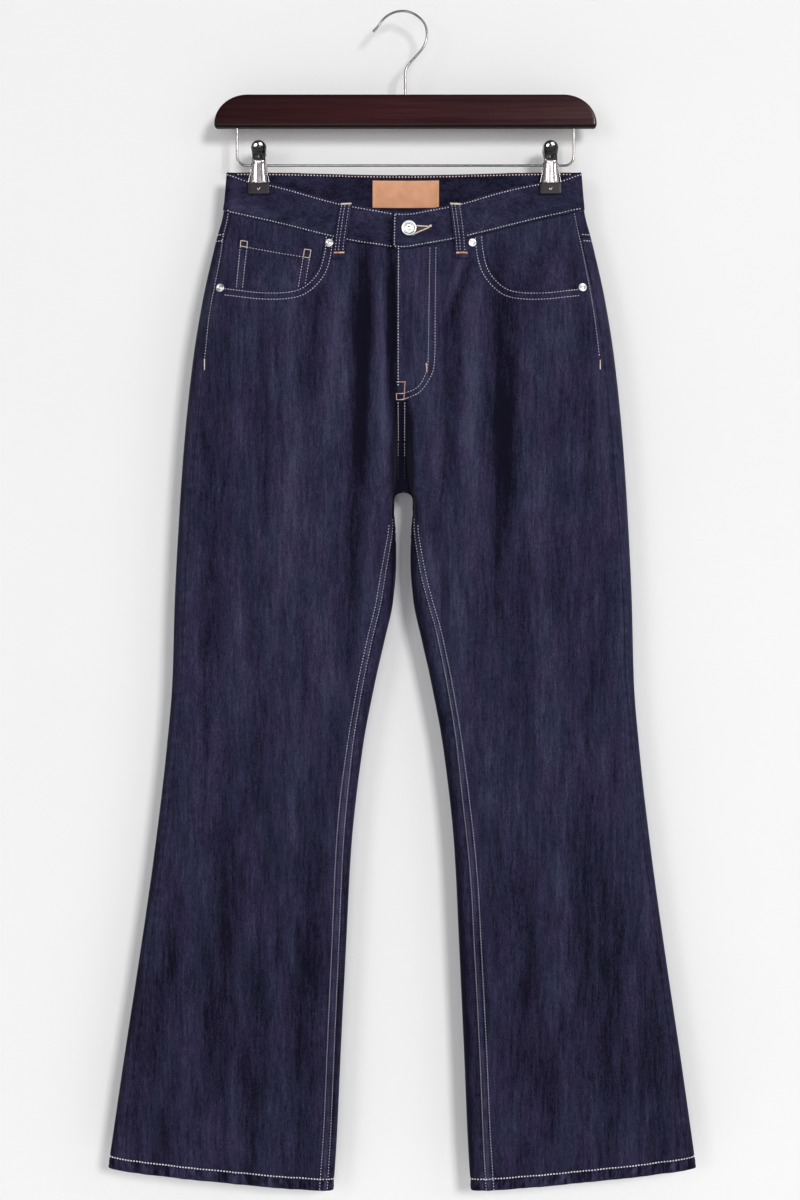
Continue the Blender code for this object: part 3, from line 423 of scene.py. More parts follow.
def relief(face, x, drop):
    """How far the visible cloth stands out from the plain body."""
    outer = ease(smooth(drop, BODY) - np.abs(x), 0, 26)
    inner = 1 - ease(drop, CROTCH - 46, 40) * (1 - ease(np.abs(x), slow_gap(drop), 18))
    waves = 0
    for across, down, phase_x, phase_z, height in WAVES:
        bend = 0.9 * np.sin(down * 0.6 * TAU * MM * drop + phase_x)
        shape = np.sin(across * TAU * MM * x + phase_x + bend + face)
        waves = waves + height * shape * (0.6 + 0.4 * np.sin(down * TAU * MM * drop + phase_z + face))
    return waves * outer * inner * ease(drop, SIDE_SEAM + 30, 90) - recess(face, x, drop)


def painted_crease_shade(face, x, drop):
    """Painted shade and light for the cloth's colour: below 0 darker in creases, the middle groove, along
    turned edges and towards the hems; above 0 lighter on ridges.
    """
    tone = relief(face, x, drop) / 3.8 - fold_depth(face, x, drop) / 4.1
    outer = 1 - ease(smooth(drop, BODY) - np.abs(x), 0, 8)
    inner = ease(drop, 470, 60) * (1 - ease(np.abs(x) - inner_start(x, drop), 0, 11))
    # painted shade along the turned edges, strongest on the left outer and right inner edges, which face away
    # from the key light
    turned = np.where(x < 0, 0.8, 0.2) * outer + np.where(x < 0, 0.3, 1.1) * inner
    # painted shade: the legs grow darker towards the hems, as the light falls off downwards
    return np.clip(tone - turned, -1.9, 0.9) - 0.25 * ease(drop, 760, 300)


def body_point(face, x, drop, out=0):
    """Place on the visible cloth, moved out along its normal."""
    face, x, drop, out = np.broadcast_arrays(face, x, drop, out)
    y = face * body_depth(face, x, drop)
    place = xyz(x - LEAN * (drop - SIDE_SEAM), y + face * relief(face, x, drop), -drop)
    return place + body_normal(face, x, y, drop) * out[..., None]


def lifted(face, x, drop, out):
    """Places over the cloth and the ways out from it."""
    centre = body_point(face, x, drop, out)
    return centre, body_point(face, x, drop, out + 1) - centre


def edge_angle(inset, drop):
    """Angle round the section to a line that lies inset from its folded edge, either way."""
    half = section(drop)[1]
    turn = np.arccos(np.clip(1 - np.abs(inset) / half, 0, 1) ** (SECTION_POWER / 2))
    return np.sign(inset) * turn


def ring_place(side, angle, drop):
    """Face and x at an angle: 0 at the side fold, towards the back, pi at the inner edge."""
    middle, half = section(drop)
    turn = np.cos(angle)
    x = middle + half * np.sign(turn) * np.abs(turn) ** (2 / SECTION_POWER)
    return np.where(np.sin(angle) >= 0, 1, -1), side * x


def side_inset(side, drop):
    return smooth(drop, SEAM_INSETS, 1 + (side > 0))


def inner_inset(side, drop):
    return smooth(drop, SEAM_INSETS, 3 + (side > 0))


def side_seam(side, drop):
    """Distance of a side seam from the middle, on the front."""
    return smooth(drop, BODY) - side_inset(side, drop)


def inseam(side, drop):
    """Distance of a front panel's inner edge from the middle."""
    return half_gap(drop) + inner_inset(side, drop) + GAP / 2


def band_top(face, x):
    high = smooth(np.abs(x), FRONT_BAND) - BAND_RISE * bell(x - BAND_RISE_ACROSS, BAND_RISE_WIDTH)
    return np.where(face < 0, high, SIDE_TOP)


def waist_seam(face, x):
    fall = SEAM_FALL * (1 - ease(x, -15, 95)) * (1 - ease(np.abs(x), 186, 8))
    return np.where(face < 0, smooth(np.abs(x), FRONT_SEAM) + fall, SIDE_SEAM)


def yoke_seam(face, x):
    fall = YOKE_FALL * np.clip(1 - np.abs(x) / YOKE_HALF_WIDTH, 0, 1)
    return YOKE_SIDE + np.where(face > 0, fall, 0)


def hem_fall(x, drop):
    middle, half = section(drop)
    return HEM_FALL * np.clip((middle + half - np.abs(x)) / (2 * half), 0, 1)


def row_fall(x, level):
    """How much lower than at the side a row of cloth lies, as it nears the hem."""
    return ease(level, HEM_FADE_FROM, HEM_SIDE - HEM_FADE_FROM) * hem_fall(x, level)


def above_hem(x, drop):
    return HEM_SIDE + hem_fall(x, HEM_SIDE) - drop


def fly_edge(drop):
    fly = np.interp(drop, (FLY_TOP_DROP, FLY_FOOT_DROP), (FLY_TOP_ACROSS, FLY_FOOT_ACROSS))
    return fly * (1 - ease(drop, FLY_FADE_FROM, FLY_FADE))


def run(points):
    """Distance along a line at each of its points."""
    return np.concatenate([[0], np.cumsum(np.linalg.norm(np.diff(points, axis=0), axis=1))])


def spaced(points, count):
    """The same line with points at even distances."""
    length = run(points)
    at = np.linspace(0, length[-1], count)
    return np.stack([np.interp(at, length, column) for column in np.transpose(points)], axis=-1)


def curve(points, steps):
    """A smooth curve through rows of across and drop, read at these steps of each stretch."""
    p = np.array(points)
    p = np.vstack([2 * p[0] - p[1], p, 2 * p[-1] - p[-2]])
    return [0.5 * (2 * b + (c - a) * t + (2 * a - 5 * b + 4 * c - d) * t**2 + (3 * b - a - 3 * c + d) * t**3)
            for a, b, c, d in zip(p, p[1:], p[2:], p[3:]) for t in steps]


def line(points, count):
    return spaced([points[0], *curve(points, np.linspace(0, 1, 13)[1:])], count)


def mouth_curve(count):
    """The pocket mouth: points from the waist seam to the side."""
    return spaced(curve(POCKET_MOUTH, np.linspace(0, 1, 24, endpoint=False)), count)


# ---- meshes

EDGE = np.array([0, 0.12, 0.4, 0.85, 1.4])  # rows of points close to an edge that is rounded
WIDE_EDGE = np.array([*EDGE, 2.4, 3.8])
FAR = 999.0


def new_mesh(name, verts, faces, material):
    mesh = bpy.data.meshes.new(name)
    mesh.from_pydata(verts, [], faces)
    mesh.materials.append(material)
    return mesh


def add_object(name, data):
    obj = bpy.data.objects.new(name, data)
    bpy.context.scene.collection.objects.link(obj)
    return obj


def new_object(name, verts, faces, material):
    """A smooth-shaded mesh object of points in millimetres; it rides on the one body."""
    mesh = new_mesh(name, (np.asarray(verts) * MM).tolist(), faces, material)
    mesh.shade_smooth()
    obj = add_object(name, mesh)
    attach(obj, "root")
    return obj


def grid_faces(rows, columns, wrap=False):
    """Quads of a grid of points; with wrap its last column joins its first."""
    r = np.arange(rows - 1)[:, None]
    c = np.arange(columns if wrap else columns - 1)[None, :]
    after = (c + 1) % columns
    corners = [r * columns + c, r * columns + after, (r + 1) * columns + after, (r + 1) * columns + c]
    return np.stack([np.broadcast_to(k, (rows - 1, c.size)) for k in corners], -1).reshape(-1, 4)


def ring_faces(count, sides):
    """Faces of a closed mesh of rings of points: its quads and its two flat ends."""
    ends = [list(range(sides))[::-1], list(range((count - 1) * sides, count * sides))]
    return grid_faces(count, sides, wrap=True).tolist() + ends


def ringed(name, rings, material, turn_over=False):
    faces = ring_faces(len(rings), len(rings[0]))
    if turn_over:
        faces = [face[::-1] for face in faces]
    return new_object(name, np.concatenate(rings), faces, material)


def shell(name, outside, inside, material, **shown):
    """A closed wall between two grids of points; what is shown is kept for the outside's colour."""
    rows, columns = outside.shape[:2]
    count = rows * columns
    verts = np.concatenate([outside.reshape(-1, 3), inside.reshape(-1, 3)])
    outer = grid_faces(rows, columns)
    last = (rows - 1) * columns
    rim = np.array([*range(columns), *range(2 * columns - 1, last, columns),
                    *range(last + columns - 1, last - 1, -1), *range(last - columns, 0, -columns)])
    after = np.roll(rim, -1)
    sides = np.stack([after, rim, rim + count, after + count], -1)
    faces = np.concatenate([outer, outer[:, ::-1] + count, sides])
    a, b, c = (verts[outer[:, i]] for i in range(3))
    if np.einsum("ij,ij->i", np.cross(b - a, c - a), a - verts[outer[:, 0] + count]).sum() < 0:
        faces = faces[:, ::-1]
    obj = new_object(name, verts, faces.tolist(), material)
    for title, (values, within) in shown.items():
        values = np.broadcast_to(values, (rows, columns)).reshape(-1)
        data = obj.data.attributes.new(title, "FLOAT", "POINT").data
        data.foreach_set("value", np.concatenate([values, np.full(count, within)]).astype(np.float32))
    return obj


def rounding(distances, radii):
    """Fall of the surface at its rounded edges: top, foot, start and end of the grid."""
    total = 0
    for distance, radius in zip(distances, radii):
        inside = np.clip(radius - distance, 0, radius)
        total = np.maximum(total, radius - np.sqrt(np.maximum(radius**2 - inside**2, 0)))
    return total


def both_edges(count, length, near=EDGE, far=EDGE):
    """Places from 0 to length, close together at both ends."""
    middle = np.linspace(near[-1], length - far[-1], count)[1:-1]
    return np.concatenate([near, middle, length - far[::-1]])


def end_distances(count, near=EDGE):
    """Distances from the first and the last point, far for all but the points close to them."""
    first, last = np.full(count, FAR), np.full(count, FAR)
    first[:len(near)] = near
    last[-len(near):] = near[::-1]
    return first, last


def patch_grid(rows, height, columns, width):
    """Shares down and across a patch, and the distances of its points from its four edges."""
    down, along = both_edges(rows, height)[:, None], both_edges(columns, width)[None, :]
    return down / height, along / width, (down, height - down, along, width - along)


def tube(name, points, radius, material, sides=8):
    """A round wire through points, with flat caps."""
    ahead = np.roll(points, -1, 0) - np.roll(points, 1, 0)
    ahead[0], ahead[-1] = points[1] - points[0], points[-1] - points[-2]
    ahead /= np.linalg.norm(ahead, axis=1, keepdims=True)
    up = np.cross(ahead[0], (0.13, 0.97, 0.21))
    turn = np.linspace(0, TAU, sides, endpoint=False)[:, None]
    rings = []
    for point, way in zip(points, ahead):
        up = up - way * np.dot(up, way)
        up = up / np.linalg.norm(up)
        rings.append(point + radius * (np.cos(turn) * up + np.sin(turn) * np.cross(way, up)))
    return ringed(name, rings, material, True)


def turned(name, profile, place, out, material, steps=48):
    """A profile of radius and height turned about the body's normal at a place on the front."""
    foot, axis = (part[0] for part in lifted(-1, *np.array(place)[:, None], 0))
    axis = axis / np.linalg.norm(axis)
    across = np.cross(axis, (0, 0, 1))
    across /= np.linalg.norm(across)
    turn = np.linspace(0, TAU, steps, endpoint=False)[:, None]
    round_axis = np.cos(turn) * across + np.sin(turn) * np.cross(across, axis)
    return ringed(name, [foot + axis * (out + h) + r * round_axis for r, h in profile], material)


# ---- materials


class Shade:
    """A material with short ways to add and link nodes."""

    def __init__(self, name, **sockets):
        self.material = bpy.data.materials.new(name)
        self.material.use_nodes = True
        self.tree = self.material.node_tree
        self.shader = self.tree.nodes["Principled BSDF"]
        self.place = self.add("TexCoord", out="Object")
        self.set(**sockets)

    def feed(self, socket, value):
        if isinstance(value, bpy.types.NodeSocket):
            self.tree.links.new(value, socket)
        else:
            socket.default_value = value

    def set(self, **sockets):
        for key, value in sockets.items():
            self.feed(self.shader.inputs[key.replace("_", " ")], value)
        return self.material

    def add(self, kind, inputs=(), out=0, **settings):
        made = self.tree.nodes.new("ShaderNode" + kind)
        for key, value in settings.items():
            setattr(made, key, value)
        for key, value in dict(inputs).items():
            self.feed(made.inputs[key], value)
        return made.outputs[out]

    def noise(self, scale, detail=2, roughness=0.5, distortion=0):
        """Noise with a number of cycles a metre, or with one of its own along X, Y and Z."""
        at = self.add("Mapping", {"Vector": self.place, "Scale": scale if np.ndim(scale) else (scale,) * 3})
        return self.add("TexNoise", {"Vector": at, "Scale": 1, "Detail": detail, "Roughness": roughness,
                                     "Distortion": distortion})

    def twill(self, scale, distortion, **inputs):
        inputs = {"Vector": self.place, "Scale": scale, "Distortion": distortion, **inputs}
        return self.add("TexWave", inputs, bands_direction="DIAGONAL")

    def maths(self, operation, a, b=0, c=0):
        return self.add("Math", {0: a, 1: b, 2: c}, operation=operation)

    def plus(self, value, factor, rest):
        return self.maths("MULTIPLY_ADD", value, factor, rest)

    def times(self, colour, tint):
        inputs = {"Factor": 1, 6: colour, 7: tint}
        return self.add("Mix", inputs, out=2, data_type="RGBA", blend_type="MULTIPLY")

    def spread(self, value, low, high):
        """The middle range of a noise spread from low to high."""
        return self.add("MapRange", {0: value, 1: 0.3, 2: 0.7, 3: low, 4: high})

    def ramp(self, value, *stops):
        """Colours at places along a value; a number is a grey."""
        made = self.tree.nodes.new("ShaderNodeValToRGB")
        self.feed(made.inputs[0], value)
        ramp = made.color_ramp
        while len(ramp.elements) < len(stops):
            ramp.elements.new(0.5)
        for element, (at, colour) in zip(ramp.elements, stops):
            element.position = at
            element.color = (*(colour if np.ndim(colour) else (colour,) * 3), 1)
        return made.outputs[0]

    def bump(self, height, strength, distance, normal=None):
        inputs = {"Height": height, "Strength": strength, "Distance": distance * MM}
        return self.add("Bump", inputs | ({"Normal": normal} if normal else {}))


def denim(name, streaks):
    """Indigo twill with slubs that run along one axis; painted shade darkens its creases and painted light
    brightens its ridges, and painted stripes of light and shade run round its hems.
    """
    s = Shade(name, Roughness=0.88, Specular_IOR_Level=0.07, Sheen_Weight=0.09, Sheen_Roughness=0.45,
              Sheen_Tint=(0.74, 0.74, 1, 1))

    def stretched(fine, coarse, *settings):
        return s.noise(tuple(fine + (coarse - fine) * np.array(streaks)), *settings)

    mottle = stretched(58, 12, 4, 0.62, 0.4)
    slub = stretched(300, 30, 3, 0.6)
    yarn = stretched(1000, 150, 2, 0.6)
    fleck = s.noise(700, 2, 0.6)
    # the tone attribute holds the cloth's painted shade and light
    fold, hem = (s.add("Attribute", out="Fac", attribute_name=kept) for kept in ("tone", "hem"))
    # the hem's rope pattern is a bump and also painted stripes of light and shade in the colour
    rope = s.maths("SUBTRACT", s.noise((210, 210, 42), 2, 0.6, 0.3), 0.53)
    rope = s.maths("MULTIPLY", rope, hem)
    tone = -0.15
    for value, share in ((mottle, 0.28), (slub, 0.34), (yarn, 0.3), (fleck, 0.36), (fold, 0.19),
                         (rope, 0.75)):
        tone = s.plus(value, share, tone)
    colour = s.ramp(tone, (0.3, (0.0036, 0.0031, 0.0102)), (0.5, (0.023, 0.0217, 0.05)),
                    (0.68, (0.051, 0.052, 0.094)))
    violet = s.ramp(stretched(44, 15), (0.34, (0.87, 0.98, 0.97)), (0.64, (1.07, 0.94, 1.03)))
    wale = s.twill(400, 1.2, Detail=1, **{"Detail Scale": 2})
    rough = s.bump(yarn, 0.4, 0.5, s.bump(rope, 1, 2.4))
    grain = s.bump(wale, 0.35, 0.25, s.bump(fleck, 0.3, 0.4, rough))
    return s.set(Base_Color=s.times(colour, violet), Normal=grain)


def thread(name, light, dark):
    """Twisted sewing thread."""
    s = Shade(name, Roughness=0.55, Sheen_Weight=0.2, Sheen_Roughness=0.4)
    colour = s.ramp(s.noise(240), (0.35, dark), (0.65, light))
    return s.set(Base_Color=colour, Normal=s.bump(s.twill(900, 1), 0.5, 0.1))


def plated(name, colour, low, high, scratch=1):
    """Polished metal with faint unevenness."""
    s = Shade(name, Metallic=1, Base_Color=(*colour, 1))
    fine = s.bump(s.noise((900, 900, 2600)), 0.06 * scratch, 0.05)
    return s.set(Roughness=s.spread(s.noise(160, 3, 0.6), low, high), Normal=fine)


def black_enamel():
    s = Shade("black_enamel", Specular_IOR_Level=0.5)
    cloud = s.noise(160, 3, 0.6)
    colour = s.ramp(cloud, (0.3, (0.0006, 0.0005, 0.0007)), (0.7, (0.0022, 0.0017, 0.0024)))
    return s.set(Base_Color=colour, Roughness=s.spread(cloud, 0.1, 0.16))


def lacquered_wood():
    """Red-brown wood with painted shade along its rounded top and foot edges and towards its ends, the left
    end darkest, away from the key light.
    """
    s = Shade("mahogany", Coat_Weight=0.1, Coat_Roughness=0.12, Specular_IOR_Level=0.15)
    grain = s.noise((7, 240, 240), 4, 0.6, 0.6)
    pores = s.noise((50, 1500, 1500))
    tone = s.plus(grain, 0.42, s.maths("MULTIPLY", pores, 0.14))
    tone = s.plus(s.noise((4, 4, 9), 1), 0.44, tone)
    colour = s.ramp(tone, (0.36, (0.02, 0.0038, 0.0055)), (0.52, (0.036, 0.0058, 0.0085)),
                    (0.66, (0.05, 0.009, 0.0115)))
    right, high = (s.add("SeparateXYZ", {0: s.place}, out=axis) for axis in (0, 2))
    down = s.plus(high, -1 / MM / (BAR_FOOT - BAR_TOP), -BAR_TOP / (BAR_FOOT - BAR_TOP))
    # painted shade along the rounded top and foot edges
    painted_edge_shade = s.ramp(down, (0, 0.35), (0.05, 0.75), (0.55, 1), (0.88, 0.9), (0.97, 0.25))
    # painted shade towards the ends, the left end darker than the right
    ends = s.ramp(s.plus(right, 2.4, 0.5), (0, 0.5), (0.28, 0.66), (0.48, 1), (0.78, 0.92), (1, 0.8))
    rough = s.maths("MAXIMUM", s.spread(grain, 0.18, 0.26), s.ramp(down, (0.9, 0), (0.95, 0.95)))
    colour = s.times(s.times(colour, painted_edge_shade), ends)
    return s.set(Base_Color=colour, Roughness=rough, Normal=s.bump(grain, 0.05, 0.2))


def tan_patch():
    s = Shade("tan_patch", Roughness=0.62, Specular_IOR_Level=0.35)
    pores = s.add("TexVoronoi", {"Vector": s.place, "Scale": 1100})
    colour = s.ramp(s.noise(60, 4, 0.6), (0.3, (0.575, 0.27, 0.143)), (0.7, (0.735, 0.36, 0.2)))
    return s.set(Base_Color=colour, Normal=s.bump(pores, 0.25, 0.12))


def dark_pad():
    s = Shade("clip_pad", Specular_IOR_Level=0.22)
    cloud = s.noise(90)
    colour = s.ramp(cloud, (0.3, (0.01, 0.007, 0.01)), (0.7, (0.024, 0.016, 0.022)))
    fine = s.bump(s.noise(700, 3, 0.6), 0.12, 0.15)
    return s.set(Base_Color=colour, Roughness=s.spread(cloud, 0.34, 0.5), Normal=fine)


DENIM_UP = denim("denim_warp_up", (0, 0, 1))
DENIM_ACROSS = denim("denim_warp_across", (0.9, 0, 0.6))
THREAD_LILAC = thread("thread_lilac_white", (0.88, 0.85, 0.93), (0.6, 0.57, 0.67))
THREAD_PALE = thread("thread_pale", (0.98, 0.82, 0.74), (0.76, 0.56, 0.48))
THREAD_CREAM = thread("thread_cream", (0.8, 0.7, 0.58), (0.6, 0.48, 0.38))
THREAD_ORANGE = thread("thread_orange", (0.74, 0.48, 0.32), (0.52, 0.17, 0.08))
THREAD_PINK = thread("thread_pink_cream", (0.74, 0.5, 0.44), (0.5, 0.28, 0.25))
# near-black thread: painted shade on the rows down in the dark middle groove
THREAD_PAINTED_SHADE = thread("thread_painted_shade", (0.03, 0.016, 0.022), (0.012, 0.008, 0.014))
THREAD_RUST = thread("thread_rust", (0.16, 0.035, 0.035), (0.07, 0.015, 0.02))
# near-black colour: painted shade for the buttonhole's opening
SLIT_PAINTED_SHADE = thread("slit_painted_shade", (0.006, 0.005, 0.01), (0.003, 0.003, 0.006))
NICKEL = plated("bright_nickel", (0.8, 0.79, 0.8), 0.26, 0.38)
STEEL = plated("clip_steel", (0.44, 0.405, 0.42), 0.22, 0.32, 0.2)
WIRE = plated("wire_steel", (0.3, 0.285, 0.28), 0.14, 0.26)
ENAMEL, WOOD, PATCH, PAD = black_enamel(), lacquered_wood(), tan_patch(), dark_pad()


# ---- cloth pieces

SIDES = ((-1, "left"), (1, "right"))


def keep(obj, node=None):
    """Hide the solid of the node that a piece stands for, if one is given, and give the piece back."""
    if node:
        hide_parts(node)
    return obj


def cloth(node, places, distances, thickness, out=0, fine=0, radii=(0.6,) * 4, inner_radii=(0,) * 4,
          material=DENIM_UP):
    """A wall of denim on the body with rounded edges; fine is its low relief, which with its rounding also
    sets painted shade and light in its colour.
    """
    face, x, drop = np.broadcast_arrays(*places)
    fallen = rounding(distances, radii)
    outside = body_point(face, x, drop, out + fine - fallen)
    inside = body_point(face, x, drop, out - thickness + rounding(distances, inner_radii))
    # painted shade and light: creases, seam grooves and rounded edges darker, ridges lighter
    tone = painted_crease_shade(face, x, drop) + 0.9 * fine - 0.5 * fallen
    up = above_hem(x, drop) / HEM_DEPTH
    hem = ease(up * 6) * ease((1 - up) * 4)
    # the tone attribute carries this painted shade to the denim; the inside walls get a fixed darker tone of
    # -0.5
    keep(shell(f"cloth_{node}", outside, inside, material, tone=(tone, -0.5), hem=(hem, 0)), node)


FRONT_LEVEL = 345  # down to here the front's rows fan out from its top edge
CLOSE_FROM = 480  # from here to the crotch rows of points lie close together


def front_top(side):
    """Top edge of a front panel, along the waist seam and the pocket mouth."""
    x = np.linspace(side * FLY_TOP_ACROSS, POCKET_MOUTH[0][0], 60)
    seam = np.stack([x, waist_seam(-1, side * x) + GAP], axis=-1)
    mouth = mouth_curve(240)
    edge = np.vstack([seam, mouth[mouth[:, 1] > seam[-1, 1]]])
    return edge[edge[:, 0] < side_seam(side, edge[:, 1]) - GAP / 2]


def front_places(side):
    """A front panel in two stretches: under its shaped top edge, and the leg."""
    edge = front_top(side)
    length = run(edge)[-1]
    share = both_edges(56, length, np.array([*WIDE_EDGE, 5.4, 7.2, 9.2]), WIDE_EDGE)[None, :] / length
    top_x, top_drop = (np.interp(share[0], np.linspace(0, 1, 2000), v) for v in spaced(edge, 2000).T)

    def ends(drop):
        start = side * fly_edge(drop) + GAP / 2 - 0.5 * ease(drop, 440, 40)
        return np.where(drop < CROTCH - 0.01, start, inseam(side, drop)), side_seam(side, drop) - GAP / 2

    def across(drop, share):
        start, end = ends(drop)
        return start + (end - start) * share

    start, end = ends(top_drop)
    top_share = np.clip((top_x - start) / (end - start), 0, 1)
    top_share[0], top_share[-1] = 0, 1
    reach = FRONT_LEVEL - top_drop
    t = np.concatenate([EDGE[:, None] / reach, np.linspace(EDGE[-1] / reach, 1, 26)[1:-1]])
    upper_drop = top_drop + reach * t
    upper_x = across(upper_drop, top_share + (share - top_share) * t)
    levels = leg_levels(FRONT_LEVEL, 54)[:, None]
    drop = levels + 0 * share
    for _ in range(3):
        x = across(np.where(levels < CROTCH - 0.01, np.minimum(drop, CROTCH - 0.02), drop), share)
        drop = levels + row_fall(side * x, levels)
    x, drop = side * np.concatenate([upper_x, x]), np.concatenate([upper_drop, drop])
    top, foot = end_distances(len(drop))
    from_start = np.where(share < 0.5, share * length, FAR)
    from_end = np.where(share < 0.5, FAR, (1 - share) * length)
    return (-1, x, drop), (top[:, None], foot[:, None], from_start, from_end)


def leg_levels(start, count):
    """Row heights at the side seam, close together at the crotch and the hem."""
    hem = HEM_SIDE - HEM_DEPTH
    return np.concatenate([
        np.linspace(start, CLOSE_FROM, count)[:-1],
        CROTCH - (CROTCH - CLOSE_FROM) * np.cos(np.linspace(0, QUARTER, 13)) ** 1.5,
        CROTCH + CROTCH_ARCH * (1 - np.cos(np.linspace(0, QUARTER, 10)[1:])) + 0.3,
        np.linspace(CROTCH + CROTCH_ARCH + 3.4, hem - 4, 208),
        np.linspace(hem - 2.4, HEM_SIDE - EDGE[-1], 11)[:-1],
        HEM_SIDE - EDGE[::-1],
    ])


def wrap_places(side, rows, drop_of, count=86):
    """A back piece, from the side seam round the back to the middle or the inseam."""
    near = len(WIDE_EDGE)
    share = (np.linspace(0, 1, count) + 1 / count) / (1 + 2 / count)
    drop = np.maximum(rows, SIDE_SEAM) + np.zeros(count + 2 * near)
    for _ in range(4):
        first, last = drop[:, :near], drop[:, -near:]
        inner = np.where(last < CROTCH - 0.01, 0, inner_inset(side, last) - GAP / 2)
        first = -edge_angle(side_inset(side, first) - GAP / 2 - WIDE_EDGE, first)
        last = np.pi + edge_angle(inner - WIDE_EDGE[::-1], last)
        middle = first[:, -1:] + (last[:, :1] - first[:, -1:]) * share
        face, x = ring_place(side, np.hstack([first, middle, last]), drop)
        drop = drop_of(face, x)
    top, foot = end_distances(len(drop))
    return (face, x, drop), (top[:, None], foot[:, None], *end_distances(drop.shape[1], WIDE_EDGE))


def fly_lift(side, x, drop):
    """The right front lies over the left one along the fly, and a little less below it."""
    if side < 0:
        return -0.5 * (1 - ease(np.abs(x), 6, 12)) * (1 - ease(drop, 430, 60))
    height = FLY_RAISE * (1 - ease(drop, FLY_FOOT_DROP + 4, 40)) + 0.7
    height = height * (1 - ease(drop, 480, 40)) * ease(drop, FLY_TOP_DROP - 14, 26)
    return height * (1 - ease(x, fly_edge(drop), FLY_RAMP))


def hem_relief(face, x, drop):
    """The rope-like slant of a turned-up hem."""
    up = above_hem(x, drop)
    at = np.clip(up / HEM_DEPTH, 0, 1)
    wave = np.sin((np.abs(x) - 0.9 * up) / 2.1 + 0.8 * np.sin(np.abs(x) / 17))
    slow = np.sin(np.abs(x) / 6.3 + 1.3 * np.sin(np.abs(x) / 29 + face)) * ease(at * 2.5)
    return (0.3 * wave + 0.25 * slow) * np.sin(np.pi * at) - 0.55 * bell(up - HEM_DEPTH + 0.8, 1.5)


def seam_relief(distance, *rows, depth=0.4):
    """Grooves that rows of stitches press into the cloth near an edge."""
    return -depth * sum(bell(distance - at, 0.9) for at in rows)


def pucker(distance, drop, reach):
    """Short ripples across a seam that its thread draws in."""
    wave = np.sin(drop / 1.75 + 1.6 * np.sin(drop / 23)) + 0.6 * np.sin(drop / 3.1 + 1)
    return 0.2 * wave * bell(distance, reach)


INSEAM_ROW = 1.7
INSEAM_SPACING = (
    # drop, distance between the two rows
    (545, 3.9), (605, 5), (776, 5.6), (845, 7.2), (1170, 7.4), (1260, 8.2),
)


def leg_panel(node, places, distances, fine, out, *radii):
    """A leg's panel, thicker where its hem is turned up."""
    face, x, drop = np.broadcast_arrays(*places)
    turned_up = ease(HEM_DEPTH + 1 - above_hem(x, drop), 0, 2)
    fine = hem_relief(face, x, drop) + fine
    cloth(node, places, distances, DENIM + (HEM_WALL - DENIM) * turned_up, out, fine, (0.6, 1.3, *radii),
          (0, 1.3, 0, 0))


def make_front(side, name):
    (face, x, drop), distances = front_places(side)
    top, _, from_fly, from_side = distances
    spacing = smooth(drop, INSEAM_SPACING)
    rows = seam_relief(from_fly, INSEAM_ROW, depth=0.45)
    rows = rows + seam_relief(from_fly - spacing, INSEAM_ROW, depth=0.45)
    ridge = 0.6 * bell(from_fly - INSEAM_ROW - spacing / 2, 0.35 * spacing)
    fine = ease(drop, CROTCH + 12, 30) * (rows + ridge + pucker(from_fly - 4, drop, 8))
    fine = fine + seam_relief(top, *MOUTH_ROWS, depth=0.45) * (np.abs(x) > 84)
    fine = fine + pucker(from_side, drop, 4) + pucker(top - 5, np.abs(x), 6)
    free_edge = 1.1 if side > 0 else 0.6
    leg_panel(f"front_{name}", (face, x, drop), distances, fine, fly_lift(side, x, drop), free_edge, 0.7)


def make_back(side, name):
    top = YOKE_SIDE + GAP
    rows = np.concatenate([top + EDGE, leg_levels(top + EDGE[-1] + 2.6, 78)])[:, None]

    def drop_of(face, x):
        near_top = 1 - ease(rows, YOKE_SIDE, WAIST_FADE)
        return rows + near_top * (yoke_seam(face, x) - YOKE_SIDE) + row_fall(x, rows)

    places, distances = wrap_places(side, rows, drop_of)
    fine = pucker(distances[2], places[2], 4) + pucker(distances[3], places[2], 5)
    leg_panel(f"back_{name}", places, distances, fine, 0, 0.7, 0.6)


def make_yoke(side, name):
    length = YOKE_SIDE - SIDE_SEAM
    down = both_edges(14, length)[:, None]

    def drop_of(face, x):
        high, low = waist_seam(face, x) + GAP, yoke_seam(face, x) - length
        return down + high + (low - high) * ease(down, 0, length)

    cloth(f"yoke_{name}", *wrap_places(side, SIDE_SEAM + down, drop_of), DENIM)


def lap_shift(x, over):
    """How far the waistband's lapping end stands out, or its other end lies in under it."""
    if over:
        return BAND_LAP_SHIFT * (1 - ease(x, BAND_UNDERLAP_END + 1, BAND_LAP_RAMP))
    return -BAND_LAP_SHIFT * ease(x, -BAND_UNDERLAP_FROM, BAND_LAP_RAMP)


